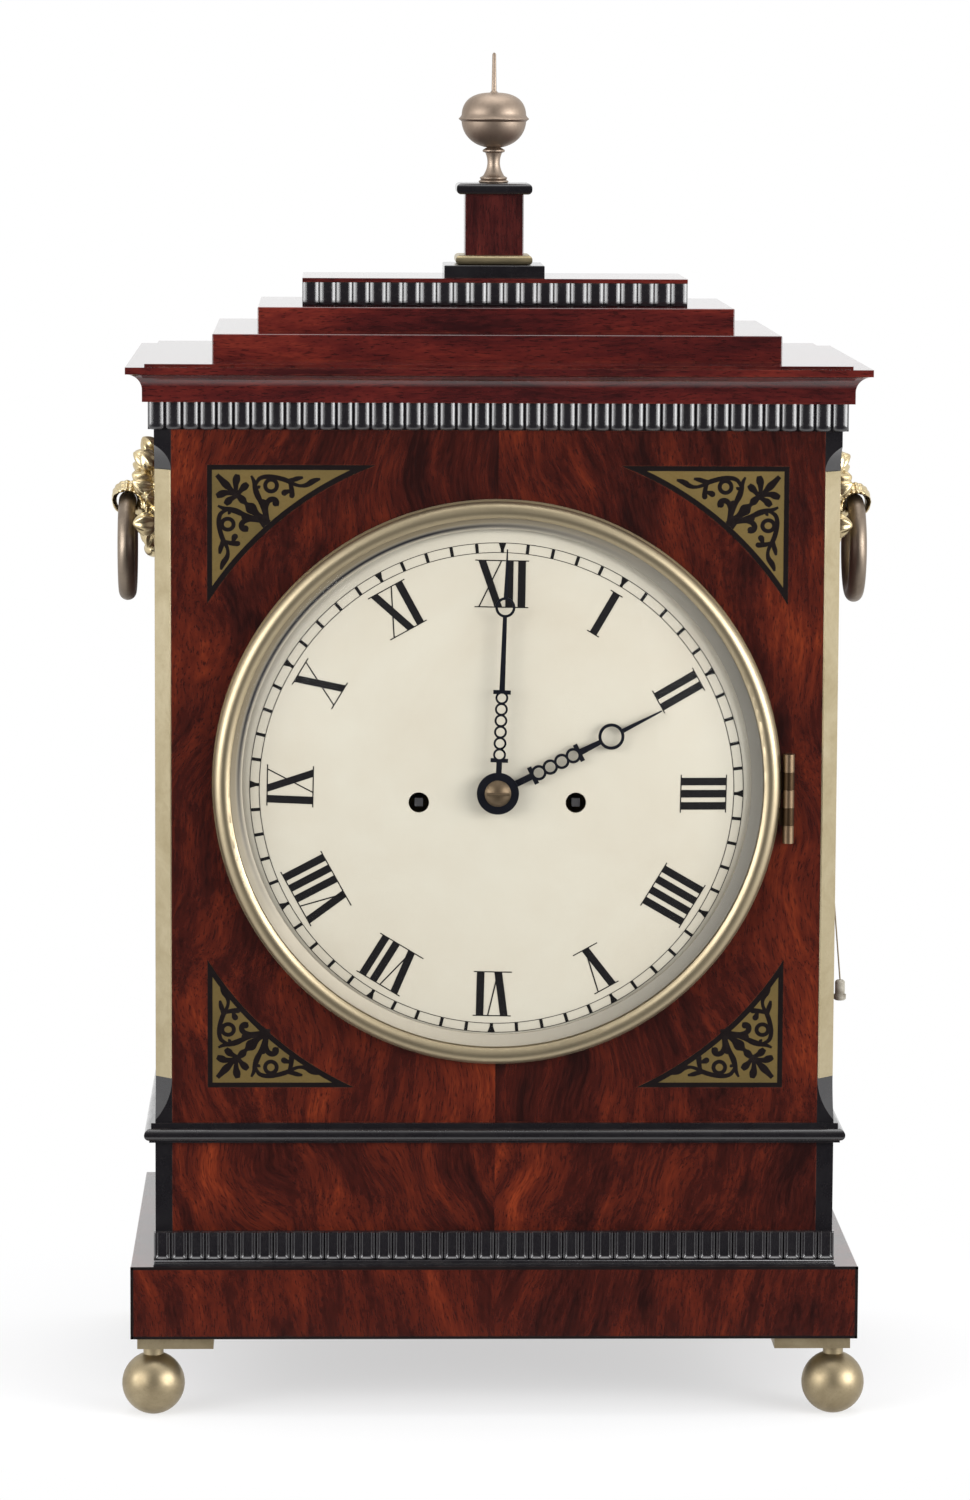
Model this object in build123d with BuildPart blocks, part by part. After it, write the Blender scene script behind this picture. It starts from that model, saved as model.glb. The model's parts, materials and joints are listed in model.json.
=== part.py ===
from build123d import *
import math
import os

# A mahogany bracket clock with a stepped top, brass inlay, ebonised mouldings and a domed painted dial.
# Millimetres. +Z is up, the dial faces -Y, and the origin is on the floor under the middle of the clock.
# Heights stack upwards from the floor, projections are measured outwards from the case's faces.

# Feet and plinth
BALL_D = 24.8
BALL_FLAT = 0.4
BALL_INSET = 8.7
NECK_D = 8.0
NECK_H = 2.4
FOOT_PLATE = 30.0
FOOT_PLATE_T = 4.5
FOOT_PLATE_INSET = 2.5
PLINTH_H = 28.9
PLINTH_PROJ = 9.6
PLINTH_TOP_T = 12.0
PLINTH_RIM = 36.0

# Case
CASE_HALF = 133.6
CASE_DEPTH = 176.0
SKIRT_H = 48.3
WAIST_H = 7.7
WAIST_PROJ = 4.3
BODY_H = 272.6
SIDE_T = 10.0
PANEL_T = 9.0
POST_W = 6.65
POST_D = 14.0
CANT_LEG = 6.6
CANT_TOP_DROP = 15.7
CANT_TOP_STOP = 9.7
CANT_FOOT_RISE = 17.7
CANT_FOOT_STOP = 16.8
CANT_STRIP_T = 0.8
CANT_STRIP_INNER = 0.1
CANT_STRIP_OUTER = 0.9
SEAM = 0.05
EDGE_ROUND = 0.5

# Gadrooned mouldings
LOWER_GADROON_H = 12.8
LOWER_GADROON_PROJ = 4.5
LOWER_GADROON_OVERHANG = 0.6
UPPER_GADROON_H = 10.8
UPPER_GADROON_PROJ = 2.3
UPPER_GADROON_T = 11.3
FLUTE_PITCH = 6.65
FLUTE_RIDGE = 1.1
FLUTE_DEPTH = 1.7
FLUTE_LIP = 1.6

# Cornice and steps
CORNICE_H = 13.6
CORNICE_PROJ = 10.7
CORNICE_FASCIA_PROJ = 4.4
CORNICE_FASCIA_H = 4.6
SLAB_PROJ = 3.5
SLAB_H = 1.0
LOWER_STEP_SETBACK = 22.1
LOWER_STEP_H = 10.4
MIDDLE_STEP_SETBACK = 39.6
MIDDLE_STEP_H = 9.8
UPPER_STEP_SETBACK = 57.1
UPPER_STEP_H = 10.8
UPPER_BOARD_T = 1.6
STEP_GADROON_T = 3.0

# Finial
FINIAL_BASE_HALF = 20.0
FINIAL_BASE_H = 4.8
COLLAR_HALF = 15.3
COLLAR_H = 3.8
COLLAR_ROUND = 1.7
PEDESTAL_HALF = 11.8
PEDESTAL_H = 24.2
CAP_HALF = 15.1
CAP_H = 4.4
CAP_ROUND = 1.9
STEM_H = 14.5
STEM_FOOT_R = 6.0
STEM_WAIST_R = 2.2
STEM_RING_R = 4.0
FINIAL_BALL_R = 13.0
FINIAL_BALL_H = 21.9
FINIAL_RIM_R = 14.0
FINIAL_RIM_T = 1.0
SPIKE_R = 1.2
SPIKE_TIP_R = 0.8
SPIKE_H = 15.5

# Dial, bezel and glass
BEZEL_RISE = 134.8
BEZEL_R = 111.2
BEZEL_FLANGE_W = 1.6
BEZEL_FLANGE_T = 1.0
BEZEL_GAP = 0.3
BEZEL_CREST = 7.4
SIGHT_R = 104.2
SIGHT_LIP_T = 1.0
SIGHT_LIP_D = 5.2
SLIP_R = 99.5
SLIP_T = 0.6
GLASS_SEAT_R = 105.6
GLASS_FIT = 0.1
GLASS_T = 2.0
GLASS_EDGE_D = 4.4
GLASS_DOME = 21.1
DIAL_DROP = 2.5
DIAL_R = 103.0
DIAL_DOME = 10.5
DIAL_T = 1.2
DIAL_RIM_DEPTH = 2.5
DIAL_GAP = 1.0
DIAL_FOOT_R = 2.5
DIAL_FOOT_PCR = 80.0
WINDING_HOLE_R = 4.0
HOUR_HOLE_GAP = 0.6
HINGE_X = 114.0
HINGE_D = 2.7
HINGE_DROP = 5.7
KNUCKLE_R = 2.2
KNUCKLE_L = 7.0
KNUCKLE_GAP = 0.15
HINGE_PIN_R = 0.9
HINGE_TONGUE_T = 1.2
HINGE_TONGUE_DEPTH = 6.0
RUN_FIT = 0.05

# Spandrels
SPANDREL_HALF_W = 113.0
SPANDREL_TOP = 124.1
SPANDREL_FOOT = 120.8
SPANDREL_ARC_R = 133.0
SPANDREL_T = 0.8

# Hands
HAND_T = 0.8
HOUR_HAND_LIFT = 2.0
MINUTE_HAND_LIFT = 4.4
HOUR_ANGLE = 63.7
MINUTE_ANGLE = 2.1
MINUTE_BOSS_R = 8.2
MINUTE_TIP = 94.5
HOUR_BOSS_R = 7.2
HOUR_TIP = 71.3
COLLET_R = 5.2
COLLET_H = 2.6
COLLET_PIN_R = 0.6
COLLET_PIN_L = 9.0

# Lion masks and ring handles
MASK_Z_DROP = 33.0
MASK_R = 25.0
MANE_T = 5.0
MASK_FACE_R = 20.0
MASK_FACE_H = 9.0
MANE_LOCKS = 14
MANE_LOCK_R = 4.6
MUZZLE_R = 8.0
MUZZLE_RISE = 4.8
RING_R = 18.5
RING_TUBE_R = 3.5
RING_OUT = 13.4
CLASP_R = 6.5
CLASP_BORE_R = 4.7
CLASP_L = 9.0
RING_PIVOT_DROP = 1.4

# Side frets
FRET_W = 84.0
FRET_LIFT = 40.0
FRET_SPRING = 78.0
FRET_RISE = 38.0
FRET_T = 1.2
FRET_BORDER = 4.0
FRET_LEDGE = 4.0
FRET_HOLE_R = 3.9
FRET_PITCH = 9.6

# Back frame and glazed back door
BACK_T = 12.0
STILE_W = 26.0
BACK_RAIL_H = 24.0
DOOR_GAP = 0.6
DOOR_FRAME_W = 20.0
DOOR_REBATE_W = 4.0
DOOR_REBATE_D = 6.0
DOOR_GLASS_T = 2.0
BUTT_R = 2.4
BUTT_L = 30.0
BUTT_LEAF_W = 12.0
BUTT_LEAF_T = 1.0
BUTT_INSET = 40.0
KNOB_R = 7.0
KNOB_STEM_R = 3.0
KNOB_PROJ = 12.0
KNOB_HEAD_T = 7.0

# Repeat cord
CORD_D = 0.6
CORD_OUT = 1.4
CORD_LEAN = 3.0
CORD_BEND_R = 1.2
BUSH_R = 2.6
BUSH_FLANGE_T = 1.2
BUSH_SPIGOT_R = 1.6
CORD_DEPTH = 40.0
CORD_EXIT_Z = 201.0
BOB_TOP_Z = 166.5
BOB_R = 2.0
BOB_RIM_R = 2.5
BOB_RIM_H = 2.4
BOB_H = 8.3

# Movement
PLATE_HALF_W = 72.0
PLATE_FOOT = 90.0
PLATE_TOP = 78.0
PLATE_T = 3.0
PLATE_DEPTH = 25.0
PLATE_SPACE = 65.0
PILLAR_R = 5.0
PILLAR_WAIST_R = 3.2
PILLAR_INSET = 6.0
SEAT_T = 14.0
SEAT_FRONT = 12.0
WINDING_X = 30.6
WINDING_DROP = 4.3
WINDING_ARBOR_R = 3.0
WINDING_SQUARE = 3.2
WINDING_END = 6.0
FUSEE_FRONT = 8.0
FUSEE_L = 46.0
FUSEE_SMALL_R = 10.0
FUSEE_LARGE_R = 22.0
FUSEE_TURNS = 12
FUSEE_GROOVE = 1.0
BARREL_X = 48.0
BARREL_DROP = 58.0
BARREL_R = 24.0
BARREL_RIM_R = 25.2
BARREL_RIM_T = 2.5
BARREL_ARBOR_R = 2.5
WHEEL_T = 2.0
PINION_T = 4.0
PIVOT_R = 1.0
ARBOR_R = 1.6
GREAT_TEETH = 96
CENTRE_PINION = 8
CENTRE_TEETH = 84
CENTRE_MODULE = 0.5
THIRD_PINION = 7
THIRD_TEETH = 78
THIRD_MODULE = 0.45
ESCAPE_PINION = 7
ESCAPE_TEETH = 30
ESCAPE_R = 16.0
ESCAPE_ROOT_R = 13.8
PALLET_RISE = 22.6
PALLET_CLEAR = 1.8
PALLET_NIB = 2.2
PIN_TEETH = 72
LOCK_PINION = 8
LOCK_TEETH = 60
WARN_PINION = 7
WARN_TEETH = 50
WARN_MODULE = 0.4
FLY_PINION = 6
FLY_W = 17.0
FLY_L = 20.0
THIRD_BEARING = 60.0
PIN_BEARING = 110.0
LOCK_BEARING = 50.0
WARN_BEARING = 100.0
FLY_BEARING = 170.0
MOTION_DISTANCE = 20.0
CANNON_TEETH = 20
MINUTE_TEETH = 60
MINUTE_PINION = 12
HOUR_TEETH = 48
CANNON_PIPE_R = 2.5
HOUR_PIPE_R = 3.6
CENTRE_ARBOR_R = 1.5

# Pendulum, back cock, bell and hammer
PENDULUM_L = 200.0
PENDULUM_DEPTH = 110.0
PENDULUM_ROD_R = 1.4
BOB_DISC_R = 24.0
BOB_DISC_T = 13.0
RATING_NUT_R = 4.5
RATING_NUT_H = 5.0
CRUTCH_L = 52.0
CRUTCH_T = 2.0
CRUTCH_STAND = 2.4
FORK_T = 1.4
FORK_FIT = 0.4
COCK_HALF_W = 24.0
COCK_REACH = 8.0
COCK_T = 3.0
COCK_DROP = 4.5
COCK_RISE = 14.4
STUD_R = 2.4
STUD_RISE = 9.0
SUSPENSION_T = 0.6
BELL_R = 38.0
BELL_H = 36.0
BELL_T = 2.2
BELL_HOLE_R = 3.0
BELL_SHOULDER_R = 27.4
BELL_SHOULDER_DROP = 10.8
BELL_DEPTH = 52.0
BELL_LIFT = 90.0
BELL_ARM_W = 12.0
BELL_ARM_T = 3.0
HAMMER_X = 50.0
HAMMER_RISE = 55.0
HAMMER_HEAD_R = 5.0
HAMMER_HEAD_L = 10.0
HAMMER_GAP = 1.6
HAMMER_ARM_T = 3.0

# Heights
z_foot_plate = BALL_D - BALL_FLAT + NECK_H
z_plinth = z_foot_plate + FOOT_PLATE_T
z_skirt = z_plinth + PLINTH_H
z_waist = z_skirt + SKIRT_H
z_body = z_waist + WAIST_H
z_gadroon = z_body + BODY_H
z_cornice = z_gadroon + UPPER_GADROON_H
z_slab = z_cornice + CORNICE_H
z_lower_step = z_slab + SLAB_H
z_middle_step = z_lower_step + LOWER_STEP_H
z_upper_step = z_middle_step + MIDDLE_STEP_H
z_finial = z_upper_step + UPPER_STEP_H
z_collar = z_finial + FINIAL_BASE_H
z_pedestal = z_collar + COLLAR_H
z_cap = z_pedestal + PEDESTAL_H
z_stem = z_cap + CAP_H
z_bezel = z_body + BEZEL_RISE
z_dial = z_bezel - DIAL_DROP
z_winding = z_dial - WINDING_DROP
z_mask = z_gadroon - MASK_Z_DROP
z_ring_pivot = z_mask - RING_PIVOT_DROP

# Depths: the glass in front and the knob behind reach equally far from the origin
glass_reach = GLASS_EDGE_D + GLASS_DOME
y_front = glass_reach - (glass_reach + CASE_DEPTH + KNOB_PROJ) / 2
y_back = y_front + CASE_DEPTH
y_mid = (y_front + y_back) / 2
x_inside = CASE_HALF - SIDE_T
x_panel = CASE_HALF - POST_W
y_plate_front = y_front + PLATE_DEPTH
y_plate_inner = y_plate_front + PLATE_T
y_back_plate = y_plate_inner + PLATE_SPACE
y_plate_back = y_back_plate + PLATE_T


def facing(y):
    """A drawing plane across the clock at depth y, seen from the front, X to the right and Z up."""
    return Plane(origin=(0, y, 0), x_dir=(1, 0, 0), z_dir=(0, -1, 0))


def board(x0, x1, y0, y1, z0, z1, mode=Mode.ADD):
    """A box between two corners."""
    with Locations(((x0 + x1) / 2, (y0 + y1) / 2, (z0 + z1) / 2)):
        return Box(x1 - x0, y1 - y0, z1 - z0, mode=mode)


def rod_y(x, z, radius, y0, y1, mode=Mode.ADD):
    """A round bar that runs from front to back."""
    with Locations((x, (y0 + y1) / 2, z)):
        return Cylinder(radius, y1 - y0, rotation=(90, 0, 0), mode=mode)


def rod_x(y, z, radius, x0, x1, mode=Mode.ADD):
    """A round bar that runs from left to right."""
    with Locations(((x0 + x1) / 2, y, z)):
        return Cylinder(radius, x1 - x0, rotation=(0, 90, 0), mode=mode)


def rod_z(x, y, radius, z0, z1, mode=Mode.ADD):
    """An upright round bar."""
    with Locations((x, y, (z0 + z1) / 2)):
        return Cylinder(radius, z1 - z0, mode=mode)


def save(piece, label):
    """Name a finished piece and write it."""
    piece.part.label = label
    export_step(piece.part, f"parts/{label}.step")


def cap_radius(base, rise):
    """Radius of the sphere whose cap has this base radius and this rise."""
    return (base * base + rise * rise) / (2 * rise)


def dome_drop(base, rise, r):
    """How far the surface of such a cap lies below its apex at radius r."""
    ball = cap_radius(base, rise)
    return ball - math.sqrt(ball * ball - r * r)


def fluted_outline(length, thickness):
    """A moulding seen from above: hollow flutes along its front, which is at y = 0, back at +thickness."""
    flutes = max(1, round((length - FLUTE_RIDGE) / FLUTE_PITCH))
    pitch = (length - FLUTE_RIDGE) / flutes
    hollow = pitch - FLUTE_RIDGE
    with BuildSketch() as outline:
        with BuildLine():
            x = -length / 2
            Line((x, thickness), (x, 0))
            for _ in range(flutes):
                Line((x, 0), (x + FLUTE_RIDGE, 0))
                start = x + FLUTE_RIDGE
                ThreePointArc((start, 0), (start + hollow / 2, FLUTE_DEPTH), (start + hollow, 0))
                x += pitch
            Line((x, 0), (length / 2, 0))
            Line((length / 2, 0), (length / 2, thickness))
            Line((length / 2, thickness), (-length / 2, thickness))
        make_face()
    return outline.sketch


def fluted_moulding(length, thickness, height, turn, middle):
    """A fluted strip with a plain lip below. Its front's middle is at the given point, turned about Z."""
    place = Location(middle, (0, 0, turn))
    lip_place = place * Location((0, thickness / 2, FLUTE_LIP / 2))
    with BuildPart() as strip:
        with BuildSketch(Plane(place).offset(FLUTE_LIP)):
            add(fluted_outline(length, thickness))
        extrude(amount=height - FLUTE_LIP)
        with Locations(lip_place):
            Box(length, thickness, FLUTE_LIP)
    return strip.part


def toothed_outline(teeth, module, phase):
    """A clock wheel's outline, with a tooth centred at the angle phase in degrees."""
    pitch_r = teeth * module / 2
    tip_r = pitch_r + 0.7 * module
    root_r = pitch_r - 1.1 * module
    step = 360 / teeth
    points = []
    for tooth in range(teeth):
        middle = phase + tooth * step
        for radius, offset in ((root_r, -0.26), (tip_r, -0.13), (tip_r, 0.13), (root_r, 0.26)):
            angle = math.radians(middle + offset * step)
            points.append((radius * math.cos(angle), radius * math.sin(angle)))
    with BuildSketch() as outline:
        with BuildLine():
            Polyline(*points, close=True)
        make_face()
    return outline.sketch


def toothed_disc(x, z, teeth, module, y0, y1, phase=0.0):
    """A toothed disc from depth y0 back to y1."""
    with BuildPart() as disc:
        with BuildSketch(Plane(origin=(x, y1, z), x_dir=(1, 0, 0), z_dir=(0, -1, 0))):
            add(toothed_outline(teeth, module, phase))
        extrude(amount=y1 - y0)
    return disc.part


def bearing(from_point, to_point):
    """Direction in degrees from one arbor to another, seen from the front."""
    return math.degrees(math.atan2(to_point[1] - from_point[1], to_point[0] - from_point[0]))


def polar(origin, distance, angle):
    """The point at a distance and an angle in degrees from an arbor."""
    turn = math.radians(angle)
    return (origin[0] + distance * math.cos(turn), origin[1] + distance * math.sin(turn))


os.makedirs("parts", exist_ok=True)

# Plinth: a shallow box, open below
y_plinth = y_front - PLINTH_PROJ
x_plinth = CASE_HALF + PLINTH_PROJ
with BuildPart() as plinth:
    board(-x_plinth, x_plinth, y_plinth, y_back, z_plinth, z_skirt)
    fillet(plinth.edges().filter_by(Axis.Z) + plinth.faces().sort_by(Axis.Z)[-1].edges(), EDGE_ROUND)
    board(
        PLINTH_RIM - x_plinth, x_plinth - PLINTH_RIM, y_plinth + PLINTH_RIM, y_back - PLINTH_RIM,
        z_plinth, z_skirt - PLINTH_TOP_T, mode=Mode.SUBTRACT,
    )
save(plinth, "plinth")

# Foot plates and ball feet at the plinth's corners
plate_x = x_plinth - FOOT_PLATE_INSET - FOOT_PLATE / 2
plate_ys = (y_plinth + FOOT_PLATE_INSET + FOOT_PLATE / 2, y_back - FOOT_PLATE_INSET - FOOT_PLATE / 2)
ball_x = x_plinth - BALL_INSET
ball_ys = (y_plinth + BALL_INSET, y_back - BALL_INSET)
with BuildPart() as foot_plates:
    with Locations([(sx * plate_x, y, z_foot_plate + FOOT_PLATE_T / 2) for sx in (-1, 1) for y in plate_ys]):
        Box(FOOT_PLATE, FOOT_PLATE, FOOT_PLATE_T)
save(foot_plates, "foot_plates")

ball_r = BALL_D / 2
z_ball = ball_r - BALL_FLAT
with BuildPart() as ball_feet:
    for sx in (-1, 1):
        for y in ball_ys:
            with Locations((sx * ball_x, y, z_ball)):
                Sphere(ball_r)
            rod_z(sx * ball_x, y, NECK_D / 2, z_ball, z_foot_plate)
    board(
        -x_plinth - ball_r, x_plinth + ball_r, y_plinth - ball_r, y_back + ball_r,
        -BALL_D, 0, Mode.SUBTRACT,
    )
save(ball_feet, "ball_feet")

# Fluted strip along the foot of the skirt
with BuildPart() as lower_gadroon:
    add(fluted_moulding(
        2 * (CASE_HALF + LOWER_GADROON_OVERHANG), LOWER_GADROON_PROJ, LOWER_GADROON_H,
        0, (0, y_front - LOWER_GADROON_PROJ, z_skirt),
    ))
save(lower_gadroon, "lower_gadroon")

# Skirt board under the waist, and the upright boards of the sides
with BuildPart() as skirt_board:
    board(-x_panel, x_panel, y_front, y_front + PANEL_T, z_skirt, z_body)
save(skirt_board, "skirt_board")

fret_foot = z_body + FRET_LIFT
fret_spring = fret_foot + FRET_SPRING
fret_half = FRET_W / 2


def fret_outline(grow):
    """The fret's arched outline, in Y and Z, grown by a margin."""
    half = fret_half + grow
    with BuildSketch(Plane.YZ) as outline:
        with BuildLine():
            Polyline(
                (y_mid - half, fret_spring), (y_mid - half, fret_foot - grow),
                (y_mid + half, fret_foot - grow), (y_mid + half, fret_spring),
            )
            ThreePointArc(
                (y_mid + half, fret_spring), (y_mid, fret_spring + FRET_RISE + grow),
                (y_mid - half, fret_spring),
            )
        make_face()
    return outline.sketch


x_fret = CASE_HALF - FRET_T
y_cord = y_front + CORD_DEPTH
with BuildPart() as side_panels:
    for sx in (-1, 1):
        inner, outer = sorted((sx * x_inside, sx * CASE_HALF))
        board(inner, outer, y_front + POST_D, y_back, z_skirt, z_gadroon)
    extrude(fret_outline(-FRET_LEDGE), amount=2 * CASE_HALF, both=True, mode=Mode.SUBTRACT)
    for sx in (-1, 1):
        with Locations((sx * (x_fret + FRET_T), 0, 0)):
            add(extrude(fret_outline(SEAM), amount=FRET_T, both=True, mode=Mode.PRIVATE), mode=Mode.SUBTRACT)
    rod_x(y_cord, CORD_EXIT_Z, BUSH_SPIGOT_R, x_inside, CASE_HALF, Mode.SUBTRACT)
save(side_panels, "side_panels")

# Pierced brass frets let into the sides, with staggered rows of holes
with BuildPart() as side_frets:
    for sx in (-1, 1):
        with Locations((min(sx * x_fret, sx * CASE_HALF), 0, 0)):
            add(extrude(fret_outline(0), amount=FRET_T, mode=Mode.PRIVATE))
    rows = int((FRET_SPRING + FRET_RISE) / (FRET_PITCH * math.sqrt(3) / 2))
    across = int(FRET_W / FRET_PITCH)
    reach = FRET_BORDER + FRET_HOLE_R
    for row in range(rows + 1):
        z = fret_foot + reach + row * FRET_PITCH * math.sqrt(3) / 2
        for column in range(-across, across + 1):
            offset = (column + 0.5 * (row % 2)) * FRET_PITCH
            lift = max(0.0, z - fret_spring)
            arch_r = (fret_half**2 + FRET_RISE**2) / (2 * FRET_RISE)
            drop = arch_r - FRET_RISE
            in_arch = math.hypot(offset, lift + drop) < arch_r - reach or lift == 0.0
            if abs(offset) < fret_half - reach and in_arch:
                rod_x(y_mid + offset, z, FRET_HOLE_R, -2 * CASE_HALF, 2 * CASE_HALF, Mode.SUBTRACT)
save(side_frets, "side_frets")

# Ebonised corner posts: square beside the skirt, canted above with a stop at each end
z_cant_foot = z_body + CANT_FOOT_RISE
z_cant_top = z_gadroon - CANT_TOP_DROP
cant_depth = CANT_LEG / math.sqrt(2)


def cant_plane(sx, z):
    """The plane of a canted corner: its X along the cant, its normal outwards."""
    middle = (sx * (CASE_HALF - CANT_LEG / 2), y_front + CANT_LEG / 2, z)
    return Plane(origin=middle, x_dir=(sx, 1, 0), z_dir=(sx, -1, 0))


with BuildPart() as corner_posts:
    for sx in (-1, 1):
        inner, outer = sorted((sx * x_panel, sx * CASE_HALF))
        board(inner, outer, y_front, y_front + POST_D, z_skirt, z_waist)
        board(inner, outer, y_front, y_front + POST_D, z_waist + SEAM, z_gadroon)
    for sx in (-1, 1):
        with Locations(cant_plane(sx, (z_cant_foot + z_cant_top) / 2).location):
            Box(
                4 * CANT_LEG, z_cant_top - z_cant_foot, 2 * CANT_LEG,
                align=(Align.CENTER, Align.CENTER, Align.MIN), mode=Mode.SUBTRACT,
            )
        for z, run in ((z_cant_top, CANT_TOP_STOP), (z_cant_foot, CANT_FOOT_STOP)):
            stop_r = cap_radius(run, cant_depth)
            with Locations(cant_plane(sx, z).location * Location((0, 0, stop_r), (0, 90, 0))):
                Cylinder(stop_r, 4 * CANT_LEG, mode=Mode.SUBTRACT)
save(corner_posts, "corner_posts")

# Brass strips on the cants, close to the panel and set back from the outer edge
strip_w = CANT_LEG * math.sqrt(2) - CANT_STRIP_INNER - CANT_STRIP_OUTER
strip_shift = (CANT_STRIP_INNER - CANT_STRIP_OUTER) / 2
with BuildPart() as corner_strips:
    for sx in (-1, 1):
        cant_middle = cant_plane(sx, (z_cant_foot + z_cant_top) / 2).location
        with Locations(cant_middle * Location((strip_shift, 0, 0))):
            Box(
                strip_w, z_cant_top - z_cant_foot, CANT_STRIP_T,
                align=(Align.CENTER, Align.CENTER, Align.MIN),
            )
save(corner_strips, "corner_strips")

# Waist moulding: one beaded section mitred round the front and both sides
waist_lip = 0.38 * WAIST_PROJ
waist_foot = 0.55 * WAIST_PROJ
waist_foot_h = 0.1 * WAIST_H
waist_nose_h = 0.36 * WAIST_H
waist_cove_h = 0.72 * WAIST_H
with BuildPart() as waist_moulding:
    with BuildLine() as waist_path:
        Polyline(
            (-CASE_HALF, y_back, z_waist), (-CASE_HALF, y_front, z_waist),
            (CASE_HALF, y_front, z_waist), (CASE_HALF, y_back, z_waist),
        )
    with BuildSketch(facing(y_back)) as waist_section:
        with BuildLine():
            Polyline(
                (-CASE_HALF - waist_lip, z_body), (-CASE_HALF, z_body), (-CASE_HALF, z_waist),
                (-CASE_HALF - waist_foot, z_waist), (-CASE_HALF - waist_foot, z_waist + waist_foot_h),
            )
            ThreePointArc(
                (-CASE_HALF - waist_foot, z_waist + waist_foot_h),
                (-CASE_HALF - WAIST_PROJ, z_waist + waist_nose_h),
                (-CASE_HALF - waist_foot, z_waist + waist_cove_h),
            )
            Polyline(
                (-CASE_HALF - waist_foot, z_waist + waist_cove_h),
                (-CASE_HALF - waist_lip, z_waist + waist_cove_h),
                (-CASE_HALF - waist_lip, z_body),
            )
        make_face()
    sweep(path=waist_path.line, transition=Transition.RIGHT)
save(waist_moulding, "waist_moulding")


def spandrel_outline(sx, sz, grow):
    """A corner spandrel: two straight legs and a hollow side that follows the bezel, grown by a margin."""
    x_corner = SPANDREL_HALF_W + grow
    z_corner = (SPANDREL_TOP if sz > 0 else SPANDREL_FOOT) + grow
    arc_r = SPANDREL_ARC_R - grow
    x_tip = math.sqrt(arc_r**2 - z_corner**2)
    z_tip = math.sqrt(arc_r**2 - x_corner**2)
    middle = math.radians((math.degrees(math.atan2(z_corner, x_tip) + math.atan2(z_tip, x_corner))) / 2)
    with BuildSketch(facing(y_front)) as outline:
        with BuildLine():
            Polyline(
                (sx * x_tip, z_bezel + sz * z_corner), (sx * x_corner, z_bezel + sz * z_corner),
                (sx * x_corner, z_bezel + sz * z_tip),
            )
            ThreePointArc(
                (sx * x_corner, z_bezel + sz * z_tip),
                (sx * arc_r * math.cos(middle), z_bezel + sz * arc_r * math.sin(middle)),
                (sx * x_tip, z_bezel + sz * z_corner),
            )
        make_face()
    return outline.sketch


corners = [(sx, sz) for sx in (-1, 1) for sz in (-1, 1)]
z_hinge = z_bezel - HINGE_DROP
hinge_half = 2.5 * KNUCKLE_L
dial_hole_r = DIAL_R + DIAL_GAP

# Front panel with the dial's opening, the spandrels' beds and the bezel hinge's slot
with BuildPart() as front_panel:
    board(-x_panel, x_panel, y_front, y_front + PANEL_T, z_body, z_gadroon)
    rod_y(0, z_dial, dial_hole_r, y_front - PANEL_T, y_front + 2 * PANEL_T, Mode.SUBTRACT)
    for sx, sz in corners:
        extrude(spandrel_outline(sx, sz, SEAM), amount=-SPANDREL_T, mode=Mode.SUBTRACT)
    board(
        HINGE_X - HINGE_TONGUE_T / 2 - SEAM, HINGE_X + HINGE_TONGUE_T / 2 + SEAM,
        y_front, y_front + HINGE_TONGUE_DEPTH + SEAM,
        z_hinge - hinge_half - SEAM, z_hinge + hinge_half + SEAM, mode=Mode.SUBTRACT,
    )
save(front_panel, "front_panel")

# Brass spandrels, flush with the panel
with BuildPart() as spandrels:
    for sx, sz in corners:
        extrude(spandrel_outline(sx, sz, 0), amount=-SPANDREL_T)
save(spandrels, "spandrels")

# Fluted moulding under the cornice, round the front and both sides
x_gadroon = CASE_HALF + UPPER_GADROON_PROJ
y_gadroon = y_front - UPPER_GADROON_PROJ
y_returns = y_gadroon + UPPER_GADROON_T + SEAM
with BuildPart() as upper_gadroon:
    add(fluted_moulding(2 * x_gadroon, UPPER_GADROON_T, UPPER_GADROON_H, 0, (0, y_gadroon, z_gadroon)))
    for sx, turn in ((-1, -90), (1, 90)):
        add(fluted_moulding(
            y_back - y_returns, UPPER_GADROON_T, UPPER_GADROON_H,
            turn, (sx * x_gadroon, (y_returns + y_back) / 2, z_gadroon),
        ))
save(upper_gadroon, "upper_gadroon")

# Back frame that the glazed door closes into
x_door_hole = x_inside - STILE_W
z_door_foot = z_skirt + BACK_RAIL_H
z_door_top = z_gadroon - BACK_RAIL_H
y_rear = y_back - BACK_T
with BuildPart() as back_frame:
    for sx in (-1, 1):
        inner, outer = sorted((sx * x_door_hole, sx * x_inside))
        board(inner, outer, y_rear, y_back, z_skirt, z_cornice)
    x_rail = x_door_hole - SEAM
    board(-x_rail, x_rail, y_rear, y_back, z_skirt, z_door_foot)
    board(-x_rail, x_rail, y_rear, y_back, z_door_top, z_cornice)
save(back_frame, "back_frame")

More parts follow.
